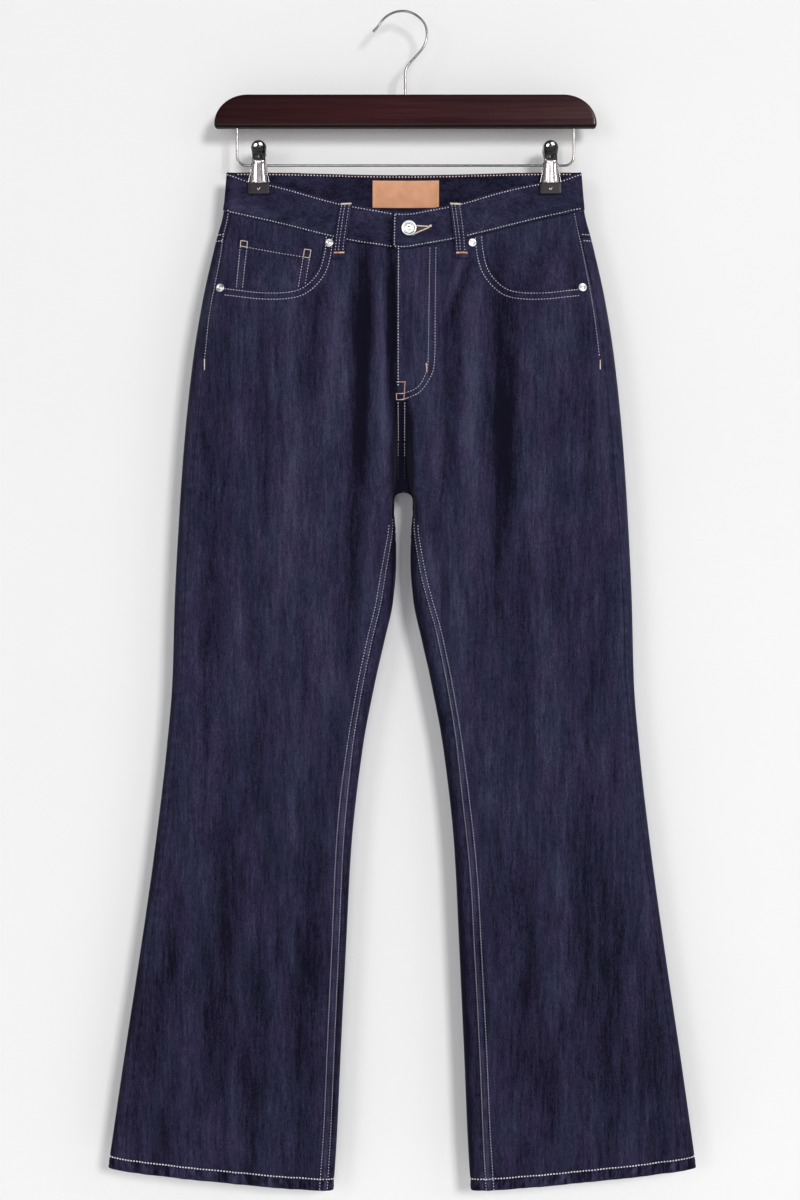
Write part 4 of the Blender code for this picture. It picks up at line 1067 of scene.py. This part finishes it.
def make_band():
    """The waistband, from its underlapping end round the back to its lapping end."""
    turn = BAND_TURN_ACROSS
    start, end = BAND_UNDERLAP_END - EDGE, BAND_LAP_END + EDGE[::-1]
    front_left = np.concatenate([start, np.linspace(start[-1], -turn, 84)[1:-1]])
    front_right = np.concatenate([np.linspace(turn, end[0], 84)[1:-1], end])
    bend = np.linspace(-1, 1, 26)[1:-1]
    height = SIDE_SEAM - SIDE_TOP
    down = both_edges(20, height)[:, None] / height

    def drop_of(face, x):
        high = band_top(face, x)
        return high + down * (waist_seam(face, x) - high)

    drop = SIDE_TOP + height * down + 0 * bend
    for _ in range(3):
        side_face, side_x = ring_place(1, bend * edge_angle(smooth(drop, BODY) - turn, drop), drop)
        drop = drop_of(side_face, side_x)
    strips = ((-1, front_left), (side_face, -side_x), (1, np.linspace(-turn, turn, 140)),
              (side_face[:, ::-1], side_x[:, ::-1]), (-1, front_right))
    face, x = (np.hstack(part) for part in zip(*(np.broadcast_arrays(*s, down)[:2] for s in strips)))
    under, over = lap_shift(front_left, False), lap_shift(front_right, True)
    lap = np.concatenate([under, np.zeros(x.shape[1] - len(under) - len(over)), over])
    top, foot = down * height, (1 - down) * height
    fine = seam_relief(top, BAND_TOP_ROW, depth=0.35) + seam_relief(foot, BAND_FOOT_ROW, depth=0.35)
    fine = fine + pucker(top, x, 4) + pucker(foot, x, 4)
    cloth("waistband", (face, x, drop_of(face, x)), (top, foot, *end_distances(x.shape[1])), BAND_WALL,
          BAND_PROUD + lap, fine, (1.2,) * 4, (1.2, 0.6, 0.6, 0.6), DENIM_ACROSS)


def facing_out(side, x, drop):
    """Height of a pocket facing: it lies under the front, and comes up where it is sewn in."""
    from_side = side_seam(side, drop) - np.abs(x)
    return -GAP - FACING_SINK[side] * ease(drop, waist_seam(-1, x), 22) * ease(from_side, 0, 13)


def make_facing(side, name):
    down, along = np.linspace(0, 1, 34)[:, None], np.linspace(0, 1, 54)[None, :]
    drop = (SIDE_SEAM + FACING_FOOT) / 2 + 0 * down * along
    for _ in range(3):
        x = FACING_INNER + (side_seam(side, drop) - FACING_INSET - FACING_INNER) * along
        top = waist_seam(-1, x) + 2 * GAP
        drop = top + (FACING_FOOT - top) * down
    fine = 0.3 * np.sin(x / 9 + 0.05 * drop) * np.sin(np.pi * along) * np.sin(np.pi * down)
    cloth(f"facing_{name}", (-1, side * x, drop), (FAR,) * 4, DENIM, facing_out(side, x, drop), fine)


def coin_point(along, down):
    """Place on the coin pocket from shares of its width and height."""
    (x0, top0, x1, foot0), (x2, top2, x3, foot2) = COIN_CORNERS
    left_x, left_drop = x0 + (x1 - x0) * down, top0 + (foot0 - top0) * down
    right_x, right_drop = x2 + (x3 - x2) * down, top2 + (foot2 - top2) * down
    return left_x + (right_x - left_x) * along, left_drop + (right_drop - left_drop) * along


def coin_out(x, drop):
    return facing_out(-1, x, drop) + DENIM + 0.15


COIN_ROWS = (0.022, 0.11, 0.89, 0.978)


def coin_hem(along):
    """Share of the coin pocket's height at its top row of stitches."""
    return 0.13 + 0.07 * along


def make_coin(width=78, height=60):
    down, along, distances = patch_grid(24, height, 34, width)
    x, drop = coin_point(along, down)
    fine = seam_relief((down - coin_hem(along)) * height, 0)
    fine = fine + seam_relief(along * width, *(share * width for share in COIN_ROWS))
    cloth("coin_pocket", (-1, x, drop), distances, DENIM, coin_out(x, drop), fine, (0.8, 0.6, 0.7, 0.7))


POCKET_OUT = PATCH_GAP + PATCH_WALL - 0.5


def pocket_outline(side, along, down):
    """Place on a back pocket: along runs from -1 to 1, down from 0 to 1."""
    wide, narrow = BACK_POCKET_HALF_WIDTHS
    x = BACK_POCKET_ACROSS + along * (wide + (narrow - wide) * down)
    length = BACK_POCKET_SIDE + BACK_POCKET_POINT * (1 - np.abs(along))
    return side * x, BACK_POCKET_TOP - BACK_POCKET_TILT * along + length * down


def make_back_pocket(side, name):
    down, share, distances = patch_grid(44, BACK_POCKET_SIDE, 50, 2 * BACK_POCKET_HALF_WIDTHS[0])
    x, drop = pocket_outline(side, 2 * share - 1, down)
    fine = seam_relief(distances[0], POCKET_HEM) + 0.25 * np.sin(x / 13) * np.sin(drop / 21)
    for distance in distances[1:]:
        fine = fine + seam_relief(distance, *POCKET_ROWS)
    cloth(f"back_pocket_{name}", (1, x, drop), distances, 2.2, POCKET_OUT, fine, (0.8, 0.7, 0.7, 0.7))


def loop_surface(face, x_top, x_foot, share, across):
    """Place on a belt loop and how far its outside stands from the body."""
    x = x_top + (x_foot - x_top) * share + across * LOOP_HALF_WIDTH
    drop = band_top(face, x_top) - LOOP_RISE + LOOP_LENGTH * share + 0 * across
    over_band = 1 - ease(share, LOOP_BAND_SHARE, LOOP_BAND_RAMP)
    return (face, x, drop), smooth(share, LOOP_STAND_OFF) + BAND_PROUD * over_band + LOOP_WALL


def make_loop(name, face, x_top, x_foot):
    down, share, distances = patch_grid(34, LOOP_LENGTH, 9, 2 * LOOP_HALF_WIDTH)
    across = 2 * share - 1
    places, out = loop_surface(face, x_top, x_foot, down, across)
    fine = -0.3 * bell(across, 0.2) + 0.14 * np.sin(places[2] / 1.2)
    fine = fine + seam_relief(np.abs(across) * LOOP_HALF_WIDTH, 0.62 * LOOP_HALF_WIDTH)
    cloth(f"loop_{name}", places, distances, LOOP_WALL, out, fine, (0.75,) * 4, (0.75,) * 4)


LABEL_OUT = BAND_PROUD - BAND_WALL - GAP


def label_surface(along, down):
    return 1, LABEL_CENTRE[0] + LABEL_HALF[0] * along, LABEL_CENTRE[1] + LABEL_HALF[1] * down


def make_label():
    down, along, distances = patch_grid(20, 2 * LABEL_HALF[1], 44, 2 * LABEL_HALF[0])
    places = label_surface(2 * along - 1, 2 * down - 1)
    nearest = np.minimum.reduce(np.broadcast_arrays(*distances))
    shown = LABEL_OUT - LABEL_WALL + 0.28 * bell(nearest - 4.6, 0.5) + rounding(distances, (0.4,) * 4)
    label = shell("patch_label", body_point(*places, LABEL_OUT), body_point(*places, shown), PATCH)
    keep(label, "label")


for side, name in SIDES:
    for make in (make_front, make_back, make_yoke, make_facing, make_back_pocket):
        make(side, name)
make_band()
make_coin()
make_label()
for loop in LOOPS:
    make_loop(*loop)

# ---- stitches

rng = np.random.default_rng(7)
TOP = 0.16  # how far a thread's middle stands over the cloth
SUNK = TOP - 0.3  # the same in the groove of a seam


def stitch_shape(sides=6):
    """One stitch: a low capsule along X, Y across and Z up."""
    rings = [(-1, 0.35), (-0.66, 0.88), (0, 1.04), (0.66, 0.88), (1, 0.35)]
    turn = np.linspace(0, TAU, sides, endpoint=False)
    verts = [(x, r * math.cos(a), r * math.sin(a) - 0.35 * (abs(x) > 0.9)) for x, r in rings for a in turn]
    return np.array(verts), [face[::-1] for face in ring_faces(len(rings), sides)]


SHAPE_VERTS, SHAPE_FACES = stitch_shape()


class Sewing:
    """Collects stitches of one thread and makes them into one mesh."""

    def __init__(self):
        self.verts = []

    def add(self, centres, ways, ups, length, width=0.62, height=0.4):
        ways = ways / np.linalg.norm(ways, axis=1, keepdims=True)
        ups = ups - ways * np.sum(ups * ways, axis=1, keepdims=True)
        ups = ups / np.linalg.norm(ups, axis=1, keepdims=True)
        long = length / 2 * (1 + 0.06 * rng.standard_normal(len(centres)))[:, None, None]
        x, y, z = (SHAPE_VERTS[None, :, i:i + 1] for i in range(3))
        self.verts.append(centres[:, None, :] + x * long * ways[:, None, :]
                          + y * width * np.cross(ups, ways)[:, None, :] + z * height * ups[:, None, :])

    def row(self, face, x, drop, out, pitch=3.15, share=0.43, **size):
        """A row of stitches along a line on the body."""
        centre, up = lifted(face, x, drop, out)
        length = run(centre)
        count = max(1, int(round(length[-1] / pitch)))
        step = length[-1] / count
        at = (np.arange(count) + 0.5) * step

        def read(values, where):
            return np.stack([np.interp(where, length, column) for column in values.T], axis=-1)

        ways = read(centre, at + 0.3 * step) - read(centre, at - 0.3 * step)
        self.add(read(centre, at), ways, read(up, at), step * share, **size)

    def tack(self, face, start, end, out, width, pitch=0.6):
        """A bar tack: short threads laid side by side across a line."""
        start, reach = np.array(start)[:, None], np.subtract(end, start)[:, None]
        count = max(3, int(np.linalg.norm(reach) / pitch))
        at = (np.arange(count) + 0.5) / count
        centre, up = lifted(face, *(start + reach * at), out)
        way = body_point(face, *(start + reach * (at + 0.01)), out) - centre
        self.add(centre, np.cross(way, up), up, 2 * width, 0.45, 0.5)

    def build(self, name, material):
        verts = np.concatenate(self.verts).reshape(-1, 3)
        size = len(SHAPE_VERTS)
        faces = [[i + v for v in face] for i in range(0, len(verts), size) for face in SHAPE_FACES]
        new_object(name, verts, faces, material)


# Waistband
band = Sewing()
reach = BAND_TURN_ACROSS + 18
for first, last, over in ((BAND_LAP_END, reach, True), (-reach, BAND_LAP_END - 1, False)):
    x = np.linspace(first, last, 200)
    x_in = np.maximum(x, BAND_LAP_END + 2.4) if over else x
    for drop in (band_top(-1, x) + BAND_TOP_ROW, waist_seam(-1, x) - BAND_FOOT_ROW):
        band.row(-1, x_in, drop, BAND_PROUD + lap_shift(x, over) + SUNK)
x = np.linspace(-BAND_TURN_ACROSS - 14, BAND_TURN_ACROSS + 14, 300)
for drop in (SIDE_TOP + BAND_TOP_ROW, SIDE_SEAM - BAND_FOOT_ROW):
    band.row(1, x, drop, BAND_PROUD + SUNK)
drop = np.linspace(band_top(-1, BAND_LAP_END) + 2.8, waist_seam(-1, BAND_LAP_END) - 2.6, 30)
band.row(-1, BAND_LAP_END + 2.4, drop, BAND_PROUD + BAND_LAP_SHIFT + TOP)
band.build("stitches_waistband", THREAD_LILAC)

x = np.linspace(-BAND_TURN_ACROSS - 8, BAND_TURN_ACROSS + 8, 300)
for name, down, out, pitch, width, material in (("inside", 2.3, -TOP, 3.4, 0.74, THREAD_PALE),
                                                ("edge", 0.5, 0.4, 2, 0.6, THREAD_RUST)):
    sewing = Sewing()
    sewing.row(1, x, SIDE_TOP + down, BAND_PROUD - BAND_WALL + out, pitch, width=width, height=0.6)
    sewing.build(f"stitches_band_{name}", material)

# Fronts: fly, middle seam, pocket mouths and inseams
front, seat, inseams = Sewing(), Sewing(), Sewing()
J_ROWS = (
    ((27.5, 256.8), (26.6, 320), (25.9, 373.9), (24, 388.7), (18.6, 401.4), (11.1, 408.4), (1.3, 411.7),
     (-3, 412.4)),
    ((33.9, 256.4), (33.2, 320), (32.8, 373.9), (29.4, 392.9), (18.6, 409.4), (9.5, 415.1), (1.3, 417.9),
     (-3, 418.6)),
)


def fly_row(sewing, x, drop, **size):
    sewing.row(-1, x, drop, fly_lift(1, x, drop) + TOP, **size)


for rows in J_ROWS:
    fly_row(front, *line(rows, 120).T, width=0.38)
drop = np.linspace(FLY_TOP_DROP + 1.5, 405, 90)
fly_row(front, fly_edge(drop) + 1.9, drop)
# deep in the groove the last rows and the crotch row are sewn in near-black thread as painted shade
for x in (-5.7, 1.1):
    for sewing, top, foot, width in ((front, 421, 462, 0.46), (front, 463.5, 478, 0.3),
                                     (seat, 480, 502, 0.4)):
        fly_row(sewing, x, np.linspace(top, foot, 60), width=width)
seat.row(-1, np.linspace(-4.6, 4.6, 12), CROTCH + 0.4, TOP - 1, width=0.8)
seat.build("stitches_seat", THREAD_PAINTED_SHADE)
mouth = mouth_curve(160)
way = np.gradient(mouth, axis=0)
way /= np.linalg.norm(way, axis=1, keepdims=True)
for side, last in ((-1, 192.6), (1, 187.4)):
    for distance in MOUTH_ROWS:
        x, drop = (mouth + distance * way[:, ::-1] * (-1, 1)).T
        shown = (drop > waist_seam(-1, x) + 1) & (x < last)
        front.row(-1, side * x[shown], drop[shown], TOP, width=0.46)
front.build("stitches_fly_and_pockets", THREAD_LILAC)
for side, _ in SIDES:
    for second in (0, 1):
        drop = np.linspace(544 + 7 * second, HEM_SIDE + HEM_FALL - 2.5, 420)
        x = inseam(side, drop) + INSEAM_ROW + second * smooth(drop, INSEAM_SPACING)
        inseams.row(-1, side * x, drop, TOP - 0.2, width=0.4)
inseams.build("stitches_inseams", THREAD_LILAC)

# Outseams: one row on the back's side of the seam, from the waistband down to a bar tack; yoke seams
OUTSEAM_ROWS = (
    ((-188.6, 216), (-190.6, 228), (-193.7, 241.3), (-196.6, 265.6), (-201.2, 291.9), (-207.3, 327.7),
     (-212.1, 373.6)),
    ((182.6, 216), (185.2, 230), (190, 252.6), (194.5, 278), (199.4, 306), (203.8, 335), (208.2, 372)),
)
outer, hems, hem_ends, back = Sewing(), Sewing(), Sewing(), Sewing()
for (side, _), rows in zip(SIDES, OUTSEAM_ROWS):
    outer.row(-1, *line(rows, 110).T, TOP + 0.1, width=0.4)
    for shift in (-2.6, 4.2):
        base = YOKE_SIDE + shift
        start = -edge_angle(side_inset(side, base) - 1.2, base)
        face, x = ring_place(side, np.linspace(start, np.pi, 160), base)
        outer.row(face, x, yoke_seam(face, x) + shift, TOP)
outer.build("stitches_outseams_and_yoke", THREAD_LILAC)

level = HEM_SIDE - HEM_DEPTH + 0.8
for side, _ in SIDES:
    for sewing, first, last in ((hems, 0, np.pi - 0.5), (hem_ends, np.pi - 0.49, np.pi + 0.49),
                                (hems, np.pi + 0.5, TAU)):
        face, x = ring_place(side, np.linspace(first, last, 200), level)
        sewing.row(face, x, level + hem_fall(x, level), SUNK, share=0.6, width=0.8, height=0.5)
hems.build("stitches_hems", THREAD_LILAC)
hem_ends.build("stitches_hem_ends", THREAD_CREAM)

# Back: seat seam and pockets
for first, last, count in ((yoke_seam(1, 0) + 5, 486, 90), (SIDE_SEAM + 2, yoke_seam(1, 0) - 3, 30)):
    for offset in SEAT_ROWS:
        back.row(1, offset, np.linspace(first, last, count), TOP)
out = POCKET_OUT - 0.25 + TOP
for side, _ in SIDES:
    for inset in POCKET_ROWS:
        a, d = 1 - inset / BACK_POCKET_HALF_WIDTHS[0], 1 - inset / BACK_POCKET_SIDE
        for along, down in (((-a, -a), (0.02, d)), ((a, a), (0.02, d)), ((-a, 0), (d, d)), ((0, a), (d, d))):
            back.row(1, *pocket_outline(side, np.linspace(*along, 60), np.linspace(*down, 60)), out)
    back.row(1, *pocket_outline(side, np.linspace(-0.99, 0.99, 60), POCKET_HEM / BACK_POCKET_SIDE), out)
back.build("stitches_back", THREAD_LILAC)

# Coin pocket, belt loops and label
small, label_thread, cream, orange, pink = (Sewing() for _ in range(5))
share = np.linspace(0, 1, 60)
along = COIN_ROWS[0] + (COIN_ROWS[-1] - COIN_ROWS[0]) * share
for row in ((along, coin_hem(along)), *((along, 0.03 + 0.95 * share) for along in COIN_ROWS)):
    x, drop = coin_point(*row)
    small.row(-1, x, drop, coin_out(x, drop) - 0.2 + TOP, width=0.46)
for _, *loop in LOOPS:
    for across in (-0.66, -0.12, 0.6):
        places, out = loop_surface(*loop, np.linspace(0.05, 0.87, 40), across)
        small.row(*places, out + TOP, width=0.32)
small.build("stitches_loops_and_coin_pocket", THREAD_LILAC)
for along, down in (((-0.96, -0.96), (-0.9, 0.9)), ((0.96, 0.96), (-0.9, 0.9)),
                    ((-0.95, 0.95), (-0.9, -0.9))):
    places = label_surface(np.linspace(*along, 40), np.linspace(*down, 40))
    label_thread.row(*places, LABEL_OUT - LABEL_WALL - 0.1, 2.2, width=0.42, height=0.3)
label_thread.build("stitches_label", THREAD_CREAM)

# Bar tacks
for _, *loop in LOOPS:
    for sewing, share in ((cream, 0.035), (orange, 0.9)):
        (face, x, drop), out = loop_surface(*loop, share, np.array([-0.86, 0.86]))
        sewing.tack(face, *zip(x, drop), out + 0.15, 1)
for first, last in (COIN_ROWS[:2], COIN_ROWS[2:]):
    corners = [(first, 0.035), (last, 0.035), (last, coin_hem(last)), (first, coin_hem(first))]
    for a, b in zip(corners, corners[1:] + corners[:1]):
        a, b = coin_point(*a), coin_point(*b)
        cream.tack(-1, a, b, coin_out(*a) + 0.1, 0.45, 0.7)
for a, b in (((-7, 400.4), (2.1, 400.4)), ((-7.4, 412.5), (-0.6, 412.5)), ((-7.4, 418.8), (-0.6, 418.8)),
             ((-7.2, 412.5), (-7.2, 418.8)), ((1.4, 400.6), (0.2, 419)), ((-0.6, 412.5), (2.4, 411.4)),
             ((-0.6, 418.8), (3.4, 417.3))):
    pink.tack(-1, a, b, FLY_RAISE + 0.5 + TOP, 0.42)
pink.tack(-1, (23.8, 380.5), (24.6, 389.8), 0.55 + TOP, 0.7, 0.5)
for x, top, foot in ((-212.3, 374.5, 386.5), (209.2, 376, 386)):
    cream.tack(-1, (x, top), (x, foot), 0.3, 0.6)
pink.build("tacks_pink", THREAD_PINK)
cream.build("tacks_cream", THREAD_CREAM)
orange.build("tacks_orange", THREAD_ORANGE)

# Buttonhole: thread laid round a slit that the button's shank pulls open
hole = Sewing()
band_out = BAND_PROUD + BAND_LAP_SHIFT
reach = np.concatenate([np.linspace(0, 1, 24), np.linspace(1, 0, 26)[1:]])
hole_x = 9 + 17.5 * reach
hole_drop = np.where(np.arange(len(reach)) > 23, 244.6 - 8 * reach**0.9, 234.6 + reach)
centre, up = lifted(-1, hole_x, hole_drop, band_out + 0.25)
way = np.gradient(centre, axis=0)
hole.add(centre, np.cross(way, up) + 0.5 * way, up, 1.5, 0.55, 0.5)
knot = np.linspace(27, 28.6, 3)
centre, up = lifted(-1, knot, 235.2 - 0.3 * (knot - 27), band_out + 0.3)
hole.add(centre, np.array([[0.1, 0, 1]] * 3), up, 2.4, 0.6, 0.6)
hole.build("buttonhole", THREAD_CREAM)
# a near-black sheet across the slit: painted shade of the buttonhole's opening
high_x, high = hole_x[:24], hole_drop[:24]
low = np.interp(high_x, hole_x[24:][::-1], hole_drop[24:][::-1])
slit = (-1, high_x, high + (low - high) * np.linspace(0, 1, 10)[:, None])
shell("slit_shade", body_point(*slit, band_out + 0.14), body_point(*slit, band_out - 0.2), SLIT_PAINTED_SHADE)

# ---- button and rivets


def quarter_round(radius, height, across, rise):
    return oval(radius, height, across, -rise, QUARTER, 0, 8)


r = BUTTON_RADIUS
profile = [(0.05, 3.3), (r * 0.16, 3.2), (r * 0.2, 2.8), (r * 0.27, 2.75), (r * 0.31, 3.1), (r * 0.54, 3),
           (r * 0.59, 2.5), (r * 0.66, 2.45), (r * 0.71, 3.1), *quarter_round(r - 1.2, 2.4, 1.2, 1.2),
           (r - 0.2, 1.2), (r * 0.7, 0.4), (r * 0.5, 0), (0.05, 0)]
keep(turned("metal_button", profile, BUTTON_PLACE, band_out + GAP, NICKEL), "button")
r = RIVET_RADIUS
profile = [(0.05, 1.9), *quarter_round(r * 0.1, 1.2, r * 0.22, 0.65), (r * 0.36, 0.5), (r * 0.5, 0.45),
           (r * 0.6, 1.1), (r * 0.66, 1.45), *quarter_round(r - 1.1, 0.6, 1.1, 0.95), (r, 0), (0.05, 0)]
for name, *place in RIVETS:
    keep(turned(f"metal_rivet_{name}", profile, place, GAP, NICKEL, 36), f"rivet_{name}")

# ---- hanger


def rounded(first, radius, half, count):
    """Insets and places across of rings that go over rounded edges, from back to front."""
    rings = [*first, *oval(radius, radius - half, -radius, radius, QUARTER, 0, count)]
    return rings + [(inset, -y) for inset, y in reversed(rings)]


def bar_outline(inset):
    """The bar seen from the front, moved in from its edge."""
    half, top, foot = BAR_HALF_LENGTH - inset, BAR_TOP + inset, BAR_FOOT - inset
    reach, fall = BAR_SHOULDER[0] - inset, BAR_SHOULDER[1] - 2 * inset
    corner = max(BAR_CORNER - inset, 0.2)
    right = oval(half - reach, top + fall, reach, fall, QUARTER, 0, 36)
    right += oval(half - corner, foot - corner, corner, corner, 0, -QUARTER, 8)[1:]
    left = [(-x, drop) for x, drop in reversed(right)]
    below = [(x, foot) for x in np.linspace(right[-1][0], left[0][0], 40)[1:-1]]
    above = [(x, top) for x in np.linspace(left[-1][0], right[0][0], 40)[1:-1]]
    return np.array(right + below + left + above).T


def make_bar():
    """A flat bar whose edges are rounded front and back, a little fuller in its middle."""
    half = BAR_THICKNESS / 2
    rings = []
    for inset, y in rounded([(9, -half), (5, -half)], 2.4, half, 7):
        x, drop = bar_outline(inset)
        rings.append(xyz(HANGER_ACROSS + x, y, -drop))
    keep(ringed("hanger_bar_wood", rings, WOOD), "hanger_bar")


def make_wire(name, node, points):
    x, drop = points.T
    keep(tube(name, xyz(x, 0, -drop), WIRE_RADIUS, WIRE, 16), node)


def make_rail():
    end, corner = BAR_FOOT - WIRE_IN_HOLE, RAIL_CORNER
    left, right = HANGER_ACROSS - RAIL_HALF_LENGTH, HANGER_ACROSS + RAIL_HALF_LENGTH
    foot = RAIL_DROP - corner
    turns = [oval(x, foot, corner, corner, start, start + QUARTER, 20)
             for x, start in ((left + corner, 2 * QUARTER), (right - corner, 3 * QUARTER))]
    make_wire("rail_wire", "hanger_rail", spaced([(left, end), *turns[0], *turns[1], (right, end)], 300))


def rounded_box(name, centre, size, radius, material):
    """A box with rounded edges, made of rings from back to front."""
    half = np.array(size) / 2
    rings = []
    for inset, y in rounded([(min(half[0], half[2]) * 0.6, -half[1])], radius, half[1], 5):
        w, h = half[0] - inset, half[2] - inset
        corner = max(min(2 - inset, w, h), 0.15)
        ring = []
        for i, (x, z) in enumerate(((1, 1), (-1, 1), (-1, -1), (1, -1))):
            start = i * QUARTER
            ring += oval(x * (w - corner), z * (h - corner), corner, -corner, start, start + QUARTER, 5)
        x, z = np.array(ring).T
        rings.append(xyz(x, y, z) + centre)
    return ringed(name, rings, material, True)


CAPS = bpy.data.collections.new("caps")


def make_clip(name, across):
    head = HEAD_DROP - HEAD_RADIUS * np.cos(np.linspace(0.06, QUARTER, 22))
    drops = np.concatenate([head, np.linspace(HEAD_DROP, JAW[-1][0], 70)[1:]])[:, None]
    turn = np.linspace(-QUARTER, QUARTER, 49)[None, :]
    out, half, full, flute = (smooth(drops, JAW, column) for column in (1, 2, 3, 4))
    above = np.clip((HEAD_DROP - drops) / HEAD_RADIUS, 0, 1)
    dome = np.sqrt(np.maximum(1 - above**2, 0))
    share = np.sin(turn)
    crown = full * half * dome * np.cos(turn)
    ridges = flute * np.sqrt(np.clip(1 - ((np.abs(share) - 0.62) / 0.27) ** 2, 0, 1))
    wide = share * half * dome
    depth = out - 0.8 * (1 - dome)
    for face, place in ((-1, "front"), (1, "back")):
        outside = xyz(across + wide, face * (depth + crown + ridges + JAW_WALL * np.cos(0.9 * turn)), -drops)
        inside = xyz(across + 0.94 * wide, face * depth, -drops)
        keep(shell(f"jaw_{name}_{place}", outside, inside, STEEL), f"clip_{name}_jaw_{place}")
        dipped = drops[:, 0] < DIP_FOOT
        head = outside[dipped][:, ::2]
        way = (head - (across, face * HEAD_OUT, 0)) * (1, 1, 0)
        way = way / np.linalg.norm(way, axis=-1, keepdims=True) + above[dipped][..., None] * (0, 0, 1)
        cap = shell(f"cap_{name}_{place}", head + DIP_WALL * way, head - DIP_WALL * way, ENAMEL)
        CAPS.objects.link(keep(cap))
        centre = (across, face * (PAD_GAP + PAD_WALL / 2), -(PAD_TOP + PAD_FOOT) / 2)
        size = (2 * PAD_HALF_WIDTH, PAD_WALL, PAD_FOOT - PAD_TOP)
        keep(rounded_box(f"pad_{name}_{place}", centre, size, 0.9, PAD), f"clip_{name}_pad_{place}")
        along = np.linspace(0, 1, 12)
        for side, _ in SIDES:
            skirt = xyz(across + side * (7.8 + 3.2 * ease(along) ** 1.4), face * (5.2 + 0.6 * along),
                        -163 - 22 * along)
            tube(f"skirt_{name}_{place}_{side + 1}", skirt, 0.6, STEEL)
        if face < 0:
            x, drop = line(((-1.7, 190.2), (-0.2, 192), (1.6, 189.4)), 14).T
            tube(f"pip_{name}", xyz(across + x, -(PAD_GAP + PAD_WALL) - 0.05, -drop), 0.45, NICKEL)
    turn = np.linspace(0, 8 * TAU, 8 * 20)
    coil = xyz(across - 6.2 + 12.4 * turn / turn[-1], 4 * np.cos(turn), -RAIL_DROP + 4 * np.sin(turn))
    keep(tube(f"coil_{name}", coil, 0.72, STEEL), f"clip_{name}_spring")


make_bar()
make_wire("hook_wire", "hanger_hook", line(HOOK_LINE, 160))
make_rail()
for clip in CLIPS:
    make_clip(*clip)

# ---- wall, floor, light and camera


def pale(name, grey):
    s = Shade(name, Roughness=0.9, Specular_IOR_Level=0.1)
    s.set(Base_Color=s.ramp(s.noise(3), (0.3, grey * 0.985), (0.7, grey)))
    return s


def plane(name, corners, shade):
    obj = add_object(name, new_mesh(name, corners, [(0, 1, 2, 3)], shade.material))
    return obj


WALL_Y = 0.0395
FLOOR_Z = -1.62
wall_shade = pale("pale_wall", 0.825)
behind = wall_shade.add("NewGeometry", out="Backfacing")
clear = wall_shade.add("BsdfTransparent")
mixed = wall_shade.add("MixShader", {0: behind, 1: wall_shade.shader.outputs[0], 2: clear})
wall_shade.feed(wall_shade.tree.nodes["Material Output"].inputs["Surface"], mixed)
ROOM = 4
wall = [(-ROOM, WALL_Y, FLOOR_Z), (ROOM, WALL_Y, FLOOR_Z), (ROOM, WALL_Y, 3), (-ROOM, WALL_Y, 3)]
plane("wall", wall, wall_shade).visible_shadow = False  # so the lights behind it reach the back
floor = [(-ROOM, -ROOM, FLOOR_Z), (ROOM, -ROOM, FLOOR_Z), (ROOM, ROOM, FLOOR_Z), (-ROOM, ROOM, FLOOR_Z)]
plane("floor", floor, pale("pale_floor", 0.78))

for name, place, aim, size, power in (
    # name, place, height of the aim, width and height in metres, watts
    ("key", (2.9, -8, 1.35), -0.62, (1.7, 1.7), 380),
    ("front", (-0.5, -6.4, -0.8), -0.62, (1.2, 1.8), 50),
    ("fill_left", (-2.8, -5.4, 0), -0.62, (1.7, 2), 53),
    ("fill_right", (3, -2.6, 0.1), -0.6, (1.6, 2), 12),
    ("back_key", (-2.6, 6.6, 0.7), -0.62, (1.7, 1.7), 360),
    ("back_fill", (2.4, 3.4, -0.1), -0.66, (1.8, 2), 50),
    ("gleam_left", (-2.07, -1.5, 1.23), -0.15, (2.2, 2.2), 760),
    ("gleam_right", (1.27, -1.43, 2.1), -0.15, (2.2, 2.2), 760),
):
    data = bpy.data.lights.new(name, "AREA")
    data.shape = "RECTANGLE"
    data.size, data.size_y = size
    data.energy = power
    light = add_object(name, data)
    light.location = place
    light.rotation_euler = (Vector((0, 0, aim)) - Vector(place)).to_track_quat("-Z", "Y").to_euler()
    if name.startswith("gleam"):  # a soft box that only the enamelled heads of the clips mirror
        light.light_linking.receiver_collection = CAPS
        light.visible_camera = False

world = bpy.data.worlds.new("soft_studio")
world.use_nodes = True
world.node_tree.nodes["Background"].inputs[0].default_value = (1, 1, 1, 1)
world.node_tree.nodes["Background"].inputs[1].default_value = 0.2
bpy.context.scene.world = world
bpy.context.scene.view_settings.view_transform = "Standard"

CAMERA_AWAY = 2.2
SEEN_HEIGHT = 1.29  # of the hanger's plane
data = bpy.data.cameras.new("camera")
data.sensor_fit = "VERTICAL"
data.sensor_height = 36
data.lens = data.sensor_height * CAMERA_AWAY / SEEN_HEIGHT
camera = add_object("camera", data)
camera.location = (-0.0043, -CAMERA_AWAY, -0.6316)
camera.rotation_euler = (QUARTER, 0, 0)
bpy.context.scene.camera = camera
